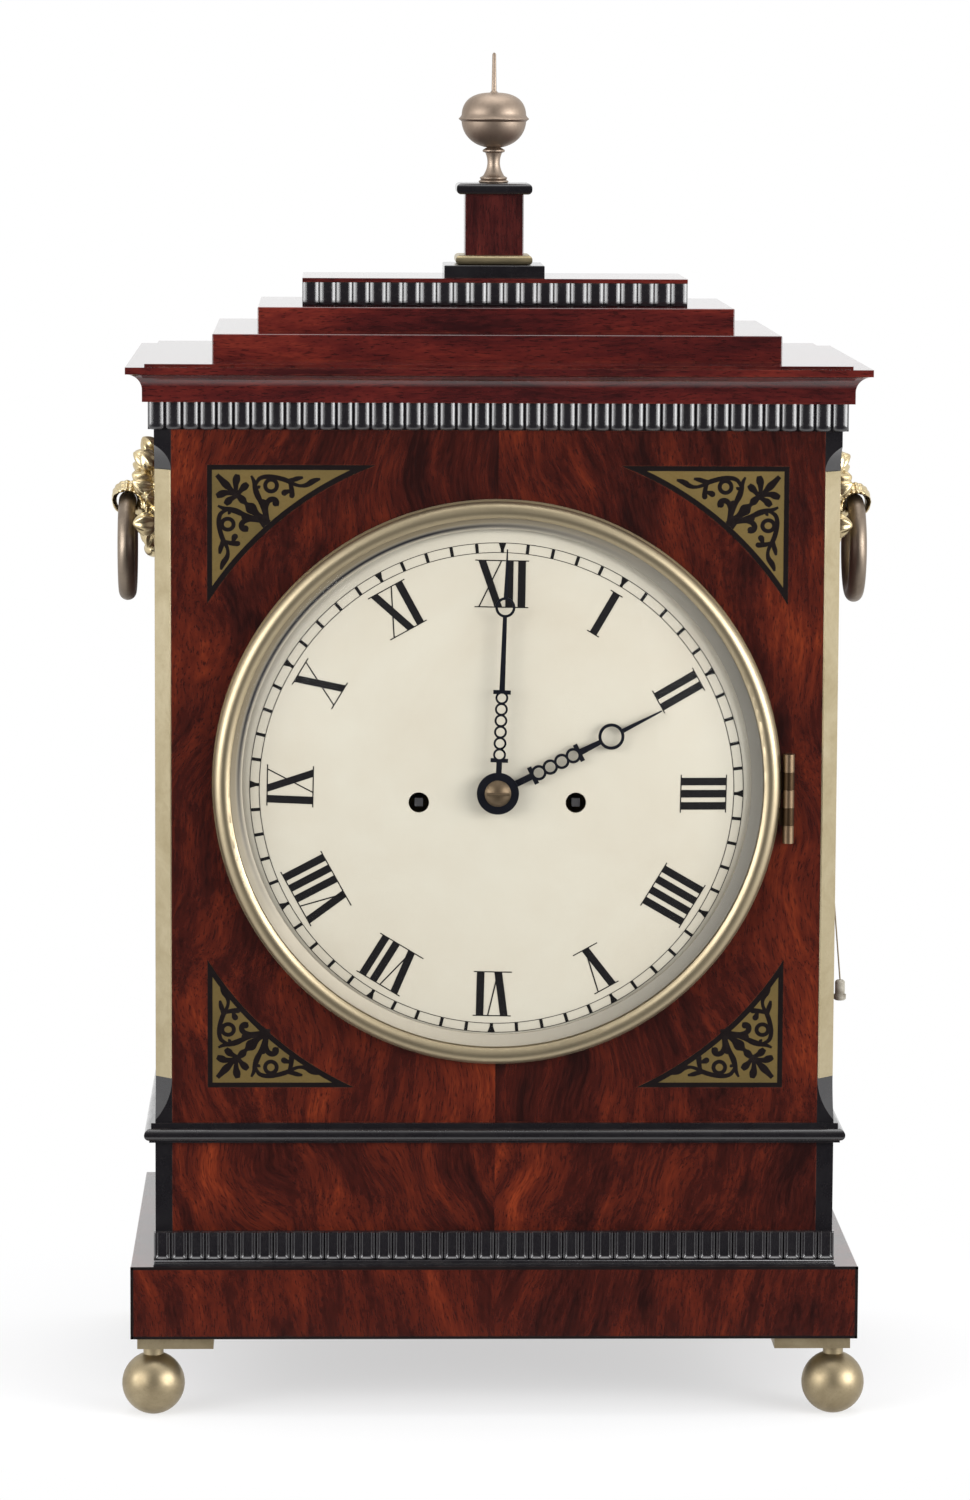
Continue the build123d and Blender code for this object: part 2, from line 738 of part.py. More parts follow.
# Cornice: a moulded slab with a hollow under its lip on three sides, and a raised table on top
x_cornice = CASE_HALF + CORNICE_PROJ
y_cornice = y_front - CORNICE_PROJ
hollow_r = CORNICE_PROJ - CORNICE_FASCIA_PROJ
z_hollow = z_cornice + CORNICE_FASCIA_H
with BuildPart() as cornice:
    board(-x_cornice, x_cornice, y_cornice, y_back, z_cornice, z_slab)
    board(
        -2 * x_cornice, 2 * x_cornice, y_cornice - hollow_r, y_cornice + hollow_r,
        z_cornice, z_hollow, Mode.SUBTRACT,
    )
    rod_x(y_cornice, z_hollow, hollow_r, -2 * x_cornice, 2 * x_cornice, Mode.SUBTRACT)
    for sx in (-1, 1):
        inner, outer = sorted((sx * (x_cornice - hollow_r), sx * (x_cornice + hollow_r)))
        board(inner, outer, y_cornice - hollow_r, y_back + hollow_r, z_cornice, z_hollow, Mode.SUBTRACT)
        rod_y(sx * x_cornice, z_hollow, hollow_r, y_cornice - hollow_r, y_back + hollow_r, Mode.SUBTRACT)
    board(
        -CASE_HALF - SLAB_PROJ, CASE_HALF + SLAB_PROJ, y_front - SLAB_PROJ, y_back, z_slab, z_lower_step,
    )
save(cornice, "cornice")


def step_board(setback, z0, z1):
    """A board of the stepped top, set back from the case alike on all sides."""
    half = CASE_HALF - setback
    with BuildPart() as step:
        board(-half, half, y_front + setback, y_back - setback, z0, z1)
        fillet(step.edges().filter_by(Axis.Z) + step.faces().sort_by(Axis.Z)[-1].edges(), EDGE_ROUND)
    return step


save(step_board(LOWER_STEP_SETBACK, z_lower_step, z_middle_step), "lower_step")
save(step_board(MIDDLE_STEP_SETBACK, z_middle_step, z_upper_step), "middle_step")

# Upper step: a block faced with fluted strips under a thin board
x_upper = CASE_HALF - UPPER_STEP_SETBACK
y_upper = y_front + UPPER_STEP_SETBACK
y_upper_back = y_back - UPPER_STEP_SETBACK
z_upper_board = z_finial - UPPER_BOARD_T
with BuildPart() as upper_step:
    board(
        STEP_GADROON_T - x_upper, x_upper - STEP_GADROON_T, y_upper + STEP_GADROON_T,
        y_upper_back - STEP_GADROON_T, z_upper_step, z_upper_board,
    )
    board(-x_upper, x_upper, y_upper, y_upper_back, z_upper_board, z_finial)
save(upper_step, "upper_step")

step_depth = y_upper_back - y_upper
step_flute_h = z_upper_board - z_upper_step
with BuildPart() as step_gadroon:
    for y, turn in ((y_upper, 0), (y_upper_back, 180)):
        add(fluted_moulding(2 * x_upper, STEP_GADROON_T, step_flute_h, turn, (0, y, z_upper_step)))
    for sx, turn in ((-1, -90), (1, 90)):
        add(fluted_moulding(
            step_depth - 2 * STEP_GADROON_T - 2 * SEAM, STEP_GADROON_T, step_flute_h,
            turn, (sx * x_upper, (y_upper + y_upper_back) / 2, z_upper_step),
        ))
save(step_gadroon, "step_gadroon")

# Finial pedestal: an ebonised base and cap with a brass collar and a mahogany block between them
with BuildPart() as finial_slabs:
    board(
        -FINIAL_BASE_HALF, FINIAL_BASE_HALF, y_mid - FINIAL_BASE_HALF, y_mid + FINIAL_BASE_HALF,
        z_finial, z_collar,
    )
    fillet(finial_slabs.faces().sort_by(Axis.Z)[-1].edges(), EDGE_ROUND)
    board(-CAP_HALF, CAP_HALF, y_mid - CAP_HALF, y_mid + CAP_HALF, z_cap, z_stem)
    cap_foot = finial_slabs.faces().filter_by_position(Axis.Z, z_cap - SEAM, z_cap + SEAM)[0]
    cap_rims = finial_slabs.faces().sort_by(Axis.Z)[-1].edges() + cap_foot.edges()
    fillet(cap_rims, CAP_ROUND)
save(finial_slabs, "finial_slabs")

with BuildPart() as finial_collar:
    board(-COLLAR_HALF, COLLAR_HALF, y_mid - COLLAR_HALF, y_mid + COLLAR_HALF, z_collar, z_pedestal)
    rims = finial_collar.edges().filter_by(Axis.Z, reverse=True)
    fillet(rims, COLLAR_ROUND)
save(finial_collar, "finial_collar")

with BuildPart() as finial_pedestal:
    board(
        -PEDESTAL_HALF, PEDESTAL_HALF, y_mid - PEDESTAL_HALF, y_mid + PEDESTAL_HALF, z_pedestal, z_cap,
    )
    fillet(finial_pedestal.edges().filter_by(Axis.Z), EDGE_ROUND)
save(finial_pedestal, "finial_pedestal")

# Turned finial: baluster stem, flattened ball with a rim round its middle, and a spike
z_ball_foot = z_stem + STEM_H
z_equator = z_ball_foot + FINIAL_BALL_H / 2
z_ball_top = z_ball_foot + FINIAL_BALL_H
ball_cheek = 0.31 * FINIAL_BALL_H
ball_cheek_r = 0.84 * FINIAL_BALL_R
with BuildPart() as finial:
    with BuildSketch(facing(y_mid)):
        with BuildLine():
            Polyline(
                (0, z_ball_foot), (0, z_stem), (STEM_FOOT_R, z_stem), (STEM_FOOT_R, z_stem + 0.12 * STEM_H),
            )
            Spline(
                (STEM_FOOT_R, z_stem + 0.12 * STEM_H), (STEM_WAIST_R, z_stem + 0.6 * STEM_H),
                (STEM_RING_R, z_ball_foot), tangents=((-1, 0.3), (1, 0.6)),
            )
            Line((STEM_RING_R, z_ball_foot), (0, z_ball_foot))
        make_face()
    revolve(axis=Axis((0, y_mid, 0), (0, 0, 1)))
    with BuildSketch(facing(y_mid)):
        with BuildLine():
            rim_half = FINIAL_RIM_T / 2
            Line((0, z_ball_top), (0, z_ball_foot))
            Line((0, z_ball_foot), (STEM_RING_R, z_ball_foot))
            ThreePointArc(
                (STEM_RING_R, z_ball_foot), (ball_cheek_r, z_equator - ball_cheek),
                (FINIAL_BALL_R, z_equator - rim_half),
            )
            Polyline(
                (FINIAL_BALL_R, z_equator - rim_half), (FINIAL_RIM_R, z_equator - rim_half),
                (FINIAL_RIM_R, z_equator + rim_half), (FINIAL_BALL_R, z_equator + rim_half),
            )
            ThreePointArc(
                (FINIAL_BALL_R, z_equator + rim_half), (ball_cheek_r, z_equator + ball_cheek),
                (STEM_RING_R, z_ball_top),
            )
            Line((STEM_RING_R, z_ball_top), (0, z_ball_top))
        make_face()
    revolve(axis=Axis((0, y_mid, 0), (0, 0, 1)))
    with Locations((0, y_mid, z_ball_top + SPIKE_H / 2)):
        Cone(SPIKE_R, SPIKE_TIP_R, SPIKE_H)
save(finial, "finial")

# Lion masks on the sides: a scalloped mane, a domed face, a muzzle and a clasp in the mouth for the ring
x_ring = CASE_HALF + RING_OUT
mane_r = MASK_R - MANE_LOCK_R
x_muzzle = CASE_HALF + MASK_FACE_H
z_muzzle = z_mask + MUZZLE_RISE
with BuildPart() as lion_masks:
    with BuildSketch(Plane(origin=(CASE_HALF, y_mid, z_mask), x_dir=(0, 1, 0), z_dir=(1, 0, 0))):
        Circle(mane_r)
        with PolarLocations(mane_r, MANE_LOCKS):
            Circle(MANE_LOCK_R)
    extrude(amount=MANE_T)
    with BuildSketch(facing(y_mid)):
        with BuildLine():
            face_drop = dome_drop(MASK_FACE_R, MASK_FACE_H, MASK_FACE_R / 2)
            Polyline((CASE_HALF, z_mask + MASK_FACE_R), (CASE_HALF, z_mask), (x_muzzle, z_mask))
            ThreePointArc(
                (x_muzzle, z_mask), (x_muzzle - face_drop, z_mask + MASK_FACE_R / 2),
                (CASE_HALF, z_mask + MASK_FACE_R),
            )
        make_face()
    revolve(axis=Axis((0, y_mid, z_mask), (1, 0, 0)))
    with Locations((x_muzzle, y_mid, z_muzzle)):
        Sphere(MUZZLE_R)
    rod_x(y_mid, z_ring_pivot, CLASP_R / 2, x_muzzle - MASK_FACE_H / 2, x_ring)
    rod_y(x_ring, z_ring_pivot, CLASP_R, y_mid - CLASP_L / 2, y_mid + CLASP_L / 2)
    rod_y(x_ring, z_ring_pivot, CLASP_BORE_R, y_mid - CLASP_L, y_mid + CLASP_L, Mode.SUBTRACT)
    mirror(about=Plane.YZ)
save(lion_masks, "lion_masks")


def ring_handle(sx):
    """A ring that hangs in its clasp, parallel to the side."""
    with BuildPart() as ring:
        with Locations((sx * x_ring, y_mid, z_ring_pivot - RING_R)):
            Torus(RING_R, RING_TUBE_R, rotation=(0, 90, 0))
    return ring


save(ring_handle(-1), "left_ring")
save(ring_handle(1), "right_ring")

# Bezel: a flange, a half-round brass ring with a sight lip over the glass, and a sloping slip behind it
bezel_axis = Axis((0, 0, z_bezel), (0, 1, 0))
z_flange = z_bezel + BEZEL_R
z_ring_outer = z_flange - BEZEL_FLANGE_W
z_sight = z_bezel + SIGHT_R
z_seat = z_bezel + GLASS_SEAT_R
z_slip = z_bezel + SLIP_R
d_flange = BEZEL_GAP + BEZEL_FLANGE_T
d_slip = GLASS_EDGE_D - GLASS_T - GLASS_FIT
d_sight = SIGHT_LIP_D + SIGHT_LIP_T
with BuildPart() as bezel:
    with BuildSketch(Plane.YZ):
        with BuildLine():
            Polyline(
                (y_front - d_sight, z_sight), (y_front - SIGHT_LIP_D, z_sight),
                (y_front - SIGHT_LIP_D, z_seat),
                (y_front - d_slip, z_seat), (y_front - d_slip, z_sight),
                (y_front - BEZEL_GAP - SLIP_T, z_slip), (y_front - BEZEL_GAP, z_slip),
                (y_front - BEZEL_GAP, z_flange), (y_front - d_flange, z_flange),
                (y_front - d_flange, z_ring_outer),
            )
            ThreePointArc(
                (y_front - d_flange, z_ring_outer),
                (y_front - BEZEL_CREST, (0.45 * z_ring_outer + 0.55 * z_sight)),
                (y_front - d_sight, z_sight),
            )
        make_face()
    revolve(axis=bezel_axis)
save(bezel, "bezel")

# Domed glass in the bezel
glass_r = GLASS_SEAT_R - GLASS_FIT
glass_mid_r = 0.6 * glass_r
glass_mid_drop = dome_drop(glass_r, GLASS_DOME, glass_mid_r)
y_apex = y_front - glass_reach
y_glass_edge = y_front - GLASS_EDGE_D
with BuildPart() as bezel_glass:
    with BuildSketch(Plane.YZ):
        with BuildLine():
            ThreePointArc(
                (y_apex, z_bezel), (y_apex + glass_mid_drop, z_bezel + glass_mid_r),
                (y_glass_edge, z_bezel + glass_r),
            )
            Line((y_glass_edge, z_bezel + glass_r), (y_glass_edge + GLASS_T, z_bezel + glass_r))
            ThreePointArc(
                (y_glass_edge + GLASS_T, z_bezel + glass_r),
                (y_apex + glass_mid_drop + GLASS_T, z_bezel + glass_mid_r), (y_apex + GLASS_T, z_bezel),
            )
            Line((y_apex + GLASS_T, z_bezel), (y_apex, z_bezel))
        make_face()
    revolve(axis=bezel_axis)
save(bezel_glass, "bezel_glass")

# Bezel hinge: three knuckles with the pin on a tongue let into the panel, two knuckles on the bezel
y_hinge = y_front - HINGE_D
with BuildPart() as bezel_hinge_plate:
    for knuckle in (0, 2, 4):
        z0 = z_hinge - hinge_half + knuckle * KNUCKLE_L
        rod_z(HINGE_X, y_hinge, KNUCKLE_R, z0, z0 + KNUCKLE_L)
        board(
            HINGE_X - HINGE_TONGUE_T / 2, HINGE_X + HINGE_TONGUE_T / 2, y_hinge, y_front + BEZEL_GAP * 2,
            z0, z0 + KNUCKLE_L,
        )
    board(
        HINGE_X - HINGE_TONGUE_T / 2, HINGE_X + HINGE_TONGUE_T / 2,
        y_front + BEZEL_GAP, y_front + HINGE_TONGUE_DEPTH, z_hinge - hinge_half, z_hinge + hinge_half,
    )
    rod_z(HINGE_X, y_hinge, HINGE_PIN_R, z_hinge - hinge_half, z_hinge + hinge_half)
save(bezel_hinge_plate, "bezel_hinge_plate")

tab_x = BEZEL_R - 0.5 * BEZEL_FLANGE_W
with BuildPart() as bezel_hinge_leaf:
    for knuckle in (1, 3):
        z0 = z_hinge - hinge_half + knuckle * KNUCKLE_L + KNUCKLE_GAP
        z1 = z0 + KNUCKLE_L - 2 * KNUCKLE_GAP
        rod_z(HINGE_X, y_hinge, KNUCKLE_R, z0, z1)
        board(tab_x, HINGE_X, y_front - d_flange - BEZEL_FLANGE_T, y_front - d_flange, z0, z1)
    rod_z(
        HINGE_X, y_hinge, HINGE_PIN_R + RUN_FIT, z_hinge - 2 * hinge_half, z_hinge + 2 * hinge_half,
        Mode.SUBTRACT,
    )
save(bezel_hinge_leaf, "bezel_hinge_leaf")

# Domed dial on four feet
dial_axis = Axis((0, 0, z_dial), (0, 1, 0))
y_rim = y_front + DIAL_RIM_DEPTH
y_dial = y_rim - DIAL_DOME
dial_mid_r = 0.6 * DIAL_R
dial_mid_drop = dome_drop(DIAL_R, DIAL_DOME, dial_mid_r)
hour_hole_r = HOUR_PIPE_R + HOUR_HOLE_GAP
foot_step = DIAL_FOOT_PCR / math.sqrt(2)
with BuildPart() as dial:
    with BuildSketch(Plane.YZ):
        with BuildLine():
            ThreePointArc(
                (y_dial, z_dial), (y_dial + dial_mid_drop, z_dial + dial_mid_r), (y_rim, z_dial + DIAL_R),
            )
            Line((y_rim, z_dial + DIAL_R), (y_rim + DIAL_T, z_dial + DIAL_R))
            ThreePointArc(
                (y_rim + DIAL_T, z_dial + DIAL_R), (y_dial + dial_mid_drop + DIAL_T, z_dial + dial_mid_r),
                (y_dial + DIAL_T, z_dial),
            )
            Line((y_dial + DIAL_T, z_dial), (y_dial, z_dial))
        make_face()
    revolve(axis=dial_axis)
    foot_top = y_dial + dome_drop(DIAL_R, DIAL_DOME, DIAL_FOOT_PCR) + 0.5 * DIAL_T
    for sx, sz in corners:
        rod_y(sx * foot_step, z_dial + sz * foot_step, DIAL_FOOT_R, foot_top, y_plate_front)
    rod_y(0, z_dial, hour_hole_r, y_dial - DIAL_DOME, y_plate_front, Mode.SUBTRACT)
    for sx in (-1, 1):
        rod_y(sx * WINDING_X, z_winding, WINDING_HOLE_R, y_dial - DIAL_DOME, y_rim, Mode.SUBTRACT)
save(dial, "dial")


def over_dial(lift):
    """A shell of a hand's thickness that lies over the dial at an even height."""
    ball = cap_radius(DIAL_R, DIAL_DOME) + lift
    with BuildPart() as shell:
        with Locations((0, y_dial - lift + ball, z_dial)):
            Sphere(ball + HAND_T)
            Sphere(ball, mode=Mode.SUBTRACT)
    return shell.part


def hand_plane(angle):
    """A drawing plane in front of the hands, its Y along a hand that points at this angle from twelve."""
    turn = math.radians(angle)
    y = y_dial - MINUTE_HAND_LIFT - 4 * HAND_T
    return Plane(origin=(0, y, z_dial), x_dir=(math.cos(turn), 0, -math.sin(turn)), z_dir=(0, -1, 0))


def clock_hand(angle, lift, boss_r, bore_r, bars, rings, eye, tip, stem):
    """A pierced hand: boss, cross bars, a row of rings, a tapering stem, an eye and a point."""
    bar_in, bar_out, bar_half, bar_t = bars
    ring_r, ring_wall, count = rings
    eye_at, eye_r, eye_wall = eye
    stem_in, stem_out = stem
    step = (bar_out - bar_in) / count
    with BuildPart() as hand:
        with BuildSketch(hand_plane(angle)):
            with BuildLine():
                Polyline(
                    (-stem_in, 0), (stem_in, 0), (stem_in, bar_in), (-stem_in, bar_in), close=True,
                )
            make_face()
            for y in (bar_in, bar_out):
                with Locations((0, y)):
                    Rectangle(2 * bar_half, bar_t)
            for index in range(count):
                with Locations((0, bar_in + (index + 0.5) * step)):
                    Circle(ring_r)
            for index in range(count):
                with Locations((0, bar_in + (index + 0.5) * step)):
                    Circle(ring_r - ring_wall, mode=Mode.SUBTRACT)
            with BuildLine():
                Polyline(
                    (-stem_in, bar_out), (stem_in, bar_out), (stem_out, eye_at - eye_r + eye_wall / 2),
                    (-stem_out, eye_at - eye_r + eye_wall / 2), close=True,
                )
            make_face()
            with Locations((0, eye_at)):
                Circle(eye_r)
                Circle(eye_r - eye_wall, mode=Mode.SUBTRACT)
            with BuildLine():
                Polyline(
                    (-stem_out, eye_at + eye_r - eye_wall / 2), (stem_out, eye_at + eye_r - eye_wall / 2),
                    (0.3 * stem_out, tip), (-0.3 * stem_out, tip), close=True,
                )
            make_face()
            Circle(boss_r)
            Circle(bore_r, mode=Mode.SUBTRACT)
        extrude(amount=-(DIAL_DOME + MINUTE_HAND_LIFT + 8 * HAND_T))
        add(over_dial(lift), mode=Mode.INTERSECT)
    return hand


minute_hand = clock_hand(
    MINUTE_ANGLE, MINUTE_HAND_LIFT, MINUTE_BOSS_R, CANNON_PIPE_R + RUN_FIT, (13.0, 39.5, 3.4, 1.6),
    (2.5, 0.8, 6), (72.2, 3.9, 1.0), MINUTE_TIP, (1.1, 0.8),
)
save(minute_hand, "minute_hand")

hour_hand = clock_hand(
    HOUR_ANGLE, HOUR_HAND_LIFT, HOUR_BOSS_R, HOUR_PIPE_R + RUN_FIT, (15.3, 35.2, 3.6, 1.8),
    (3.0, 1.0, 4), (49.3, 5.1, 1.2), HOUR_TIP, (1.3, 0.9),
)
save(hour_hand, "hour_hand")

# Brass collet on the minute hand with its taper pin
y_minute = y_dial - MINUTE_HAND_LIFT - HAND_T
collet_ball = cap_radius(COLLET_R, COLLET_H)
with BuildPart() as hand_collet:
    with Locations((0, y_minute - COLLET_H + collet_ball, z_dial)):
        Sphere(collet_ball)
    board(
        -2 * COLLET_R, 2 * COLLET_R, y_minute - SEAM, y_minute + 3 * collet_ball,
        z_dial - 2 * COLLET_R, z_dial + 2 * COLLET_R, mode=Mode.SUBTRACT,
    )
    rod_x(y_minute - COLLET_H, z_dial, COLLET_PIN_R, -COLLET_PIN_L / 2, COLLET_PIN_L / 2)
save(hand_collet, "hand_collet")

# Glazed back door, hinged on the right seen from the front
x_door = x_door_hole - DOOR_GAP
z_door0 = z_door_foot + DOOR_GAP
z_door1 = z_door_top - DOOR_GAP
x_pane = x_door - DOOR_FRAME_W
with BuildPart() as back_door:
    board(-x_door, x_door, y_rear, y_back, z_door0, z_door1)
    board(
        -x_pane, x_pane, y_rear - BACK_T, y_back + BACK_T, z_door0 + DOOR_FRAME_W, z_door1 - DOOR_FRAME_W,
        Mode.SUBTRACT,
    )
    board(
        -x_pane - DOOR_REBATE_W, x_pane + DOOR_REBATE_W, y_rear, y_rear + DOOR_REBATE_D,
        z_door0 + DOOR_FRAME_W - DOOR_REBATE_W, z_door1 - DOOR_FRAME_W + DOOR_REBATE_W, Mode.SUBTRACT,
    )
save(back_door, "back_door")

pane_margin = DOOR_REBATE_W - SEAM
with BuildPart() as back_door_glass:
    board(
        -x_pane - pane_margin, x_pane + pane_margin,
        y_rear + DOOR_REBATE_D - DOOR_GLASS_T, y_rear + DOOR_REBATE_D,
        z_door0 + DOOR_FRAME_W - pane_margin, z_door1 - DOOR_FRAME_W + pane_margin,
    )
save(back_door_glass, "back_door_glass")

# Butt hinges of the back door: the fixed leaves carry the pins
x_butt = (x_door + x_door_hole) / 2
y_butt = y_back + BUTT_R
butt_zs = (z_door0 + BUTT_INSET, z_door1 - BUTT_INSET)
butt_third = BUTT_L / 3


def butt_leaf(side, z, thirds):
    """One leaf of a butt hinge: a plate on the wood and its share of the knuckles."""
    edge = x_butt + side * (BUTT_R + DOOR_GAP)
    inner, outer = sorted((edge, x_butt + side * BUTT_LEAF_W))
    board(inner, outer, y_back, y_back + BUTT_LEAF_T, z - BUTT_L / 2, z + BUTT_L / 2)
    for third in thirds:
        z0 = z - BUTT_L / 2 + third * butt_third + KNUCKLE_GAP
        z1 = z0 + butt_third - 2 * KNUCKLE_GAP
        rod_z(x_butt, y_butt, BUTT_R, z0, z1)
        inner, outer = sorted((x_butt, edge + side * BUTT_LEAF_T))
        board(inner, outer, y_back, y_back + BUTT_LEAF_T, z0, z1)


butt_pin_r = 0.4 * BUTT_R
with BuildPart() as back_door_butts:
    for z in butt_zs:
        butt_leaf(1, z, (0, 2))
        rod_z(x_butt, y_butt, butt_pin_r, z - BUTT_L / 2, z + BUTT_L / 2)
save(back_door_butts, "back_door_butts")

with BuildPart() as back_door_leaves:
    for z in butt_zs:
        butt_leaf(-1, z, (1,))
        rod_z(x_butt, y_butt, butt_pin_r + RUN_FIT, z - BUTT_L, z + BUTT_L, Mode.SUBTRACT)
save(back_door_leaves, "back_door_leaves")

# Knob of the back door
x_knob = DOOR_FRAME_W / 2 - x_door
z_knob = (z_door0 + z_door1) / 2
with BuildPart() as back_door_knob:
    rod_y(x_knob, z_knob, KNOB_STEM_R, y_back, y_back + KNOB_PROJ)
    rod_y(x_knob, z_knob, KNOB_R, y_back + KNOB_PROJ - KNOB_HEAD_T, y_back + KNOB_PROJ)
    fillet(back_door_knob.faces().sort_by(Axis.Y)[-1].edges(), 0.4 * KNOB_HEAD_T)
save(back_door_knob, "back_door_knob")

# Repeat cord: a brass bush in the right side, the cord, and its turned pull
with BuildPart() as cord_bush:
    rod_x(y_cord, CORD_EXIT_Z, BUSH_R, CASE_HALF, CASE_HALF + BUSH_FLANGE_T)
    rod_x(y_cord, CORD_EXIT_Z, BUSH_SPIGOT_R - SEAM, x_inside, CASE_HALF)
save(cord_bush, "cord_bush")

x_cord_exit = CASE_HALF + BUSH_FLANGE_T
x_cord = x_cord_exit + CORD_OUT
x_pull = x_cord + CORD_LEAN
cord_route = [
    (x_cord_exit, y_cord, CORD_EXIT_Z),
    (x_cord, y_cord, CORD_EXIT_Z),
    (x_pull, y_cord, BOB_TOP_Z),
]
with BuildPart() as repeat_cord:
    with BuildLine() as cord_path:
        FilletPolyline(*cord_route, radius=CORD_BEND_R)
    with BuildSketch(Plane(origin=cord_route[0], x_dir=(0, 1, 0), z_dir=(1, 0, 0))):
        Circle(CORD_D / 2)
    sweep(path=cord_path.line)
cord_length = sum(edge.length for edge in cord_path.edges())
print(f"repeat cord: length {cord_length:.1f}, bend radius {CORD_BEND_R:.1f}")
cord_section = math.pi * CORD_D**2 / 4
cord_volume = repeat_cord.part.volume
print(f"repeat cord: volume {cord_volume:.2f}, section times length {cord_section * cord_length:.2f}")
save(repeat_cord, "repeat_cord")

z_pull = BOB_TOP_Z - BOB_H
with BuildPart() as repeat_bob:
    rod_z(x_pull, y_cord, BOB_R, z_pull, BOB_TOP_Z)
    rod_z(x_pull, y_cord, BOB_RIM_R, z_pull, z_pull + BOB_RIM_H)
    fillet(repeat_bob.faces().sort_by(Axis.Z)[-1].edges(), 0.6 * BOB_R)
    fillet(repeat_bob.faces().sort_by(Axis.Z)[0].edges(), 0.4 * BOB_RIM_H)
save(repeat_bob, "repeat_bob")

# Arbors of the movement as (x, z), the going side on the right and the strike on the left
centre = (0, z_dial)
going = (WINDING_X, z_winding)
strike = (-WINDING_X, z_winding)
great_distance = math.hypot(WINDING_X, WINDING_DROP)
great_module = 2 * great_distance / (GREAT_TEETH + CENTRE_PINION)
third = polar(centre, CENTRE_MODULE * (CENTRE_TEETH + THIRD_PINION) / 2, THIRD_BEARING)
escape_distance = THIRD_MODULE * (THIRD_TEETH + ESCAPE_PINION) / 2
escape = (0, third[1] + math.sqrt(escape_distance**2 - third[0] ** 2))
pallet = (0, escape[1] + PALLET_RISE)
pin_wheel = polar(strike, great_distance, PIN_BEARING)
lock_wheel = polar(pin_wheel, CENTRE_MODULE * (PIN_TEETH + LOCK_PINION) / 2, LOCK_BEARING)
warn_wheel = polar(lock_wheel, THIRD_MODULE * (LOCK_TEETH + WARN_PINION) / 2, WARN_BEARING)
fly = polar(warn_wheel, WARN_MODULE * (WARN_TEETH + FLY_PINION) / 2, FLY_BEARING)
going_barrel_at = (BARREL_X, z_dial - BARREL_DROP)
strike_barrel_at = (-BARREL_X, z_dial - BARREL_DROP)
hammer_at = (HAMMER_X, z_dial + HAMMER_RISE)
minute_stud = (0, z_dial - MOTION_DISTANCE)
small_arbors = (third, escape, pin_wheel, lock_wheel, warn_wheel, fly)
z_plate_foot = z_dial - PLATE_FOOT
z_plate_top = z_dial + PLATE_TOP
pillar_x = PLATE_HALF_W - PILLAR_INSET
pillar_zs = (z_plate_foot + PILLAR_INSET, z_plate_top - PILLAR_INSET)


def plate_blank(y0):
    """A movement plate with the pivot holes that both plates share."""
    board(-PLATE_HALF_W, PLATE_HALF_W, y0, y0 + PLATE_T, z_plate_foot, z_plate_top)
    holes = [(point, PIVOT_R + RUN_FIT) for point in small_arbors]
    holes += [(point, BARREL_ARBOR_R + RUN_FIT) for point in (going_barrel_at, strike_barrel_at)]
    holes += [(point, WINDING_ARBOR_R + RUN_FIT) for point in (going, strike)]
    holes += [(point, ARBOR_R + RUN_FIT) for point in (hammer_at, pallet)]
    holes.append((centre, CENTRE_ARBOR_R + RUN_FIT))
    for (x, z), radius in holes:
        rod_y(x, z, radius, y0 - PLATE_T, y0 + 2 * PLATE_T, Mode.SUBTRACT)


# Front plate with the minute wheel's stud, and back plate with the four pillars riveted in
with BuildPart() as front_plate:
    plate_blank(y_plate_front)
    rod_y(minute_stud[0], minute_stud[1], CENTRE_ARBOR_R, y_plate_front - 6 * WHEEL_T, y_plate_front)
save(front_plate, "front_plate")

y_plate_mid = (y_plate_inner + y_back_plate) / 2
with BuildPart() as back_plate:
    plate_blank(y_back_plate)
    for sx in (-1, 1):
        for z in pillar_zs:
            x = sx * pillar_x
            rod_y(x, z, PILLAR_WAIST_R, y_plate_inner, y_back_plate)
            rod_y(x, z, PILLAR_R, y_plate_inner, y_plate_inner + PILLAR_R)
            rod_y(x, z, PILLAR_R, y_back_plate - PILLAR_R, y_back_plate)
            rod_y(x, z, PILLAR_R, y_plate_mid - PILLAR_R / 2, y_plate_mid + PILLAR_R / 2)
save(back_plate, "back_plate")

# Seat board across the case under the plates
with BuildPart() as seat_board:
    board(-x_inside, x_inside, y_front + SEAT_FRONT, y_plate_back, z_plate_foot - SEAT_T, z_plate_foot)
save(seat_board, "seat_board")

# Fusees on their winding arbors: grooved cones, with square ends behind the dial's holes
y_fusee = y_plate_inner + FUSEE_FRONT
y_fusee_end = y_fusee + FUSEE_L
y_square = y_front - WINDING_END


def fusee_arbor(at):
    """A fusee: the winding arbor and a cone cut with grooves for the line."""
    x, z = at
    turn_l = FUSEE_L / FUSEE_TURNS
    grow = (FUSEE_LARGE_R - FUSEE_SMALL_R) / FUSEE_TURNS
    points = [(WINDING_ARBOR_R, y_fusee)]
    for index in range(FUSEE_TURNS):
        radius = FUSEE_SMALL_R + grow * index
        points.append((radius + grow, y_fusee + turn_l * index))
        points.append((radius + grow - FUSEE_GROOVE, y_fusee + turn_l * (index + 0.5)))
    points += [(FUSEE_LARGE_R, y_fusee_end), (WINDING_ARBOR_R, y_fusee_end)]
    with BuildPart() as cone:
        with BuildSketch(Plane(origin=(x, 0, z), x_dir=(1, 0, 0), z_dir=(0, 0, 1))):
            with BuildLine():
                Polyline(*points, close=True)
            make_face()
        revolve(axis=Axis((x, 0, z), (0, 1, 0)))
        rod_y(x, z, WINDING_ARBOR_R, y_plate_front - WHEEL_T, y_plate_back)
        half = WINDING_SQUARE / 2
        board(x - half, x + half, y_square, y_plate_front, z - half, z + half)
    return cone


save(fusee_arbor(going), "going_fusee")
save(fusee_arbor(strike), "strike_fusee")


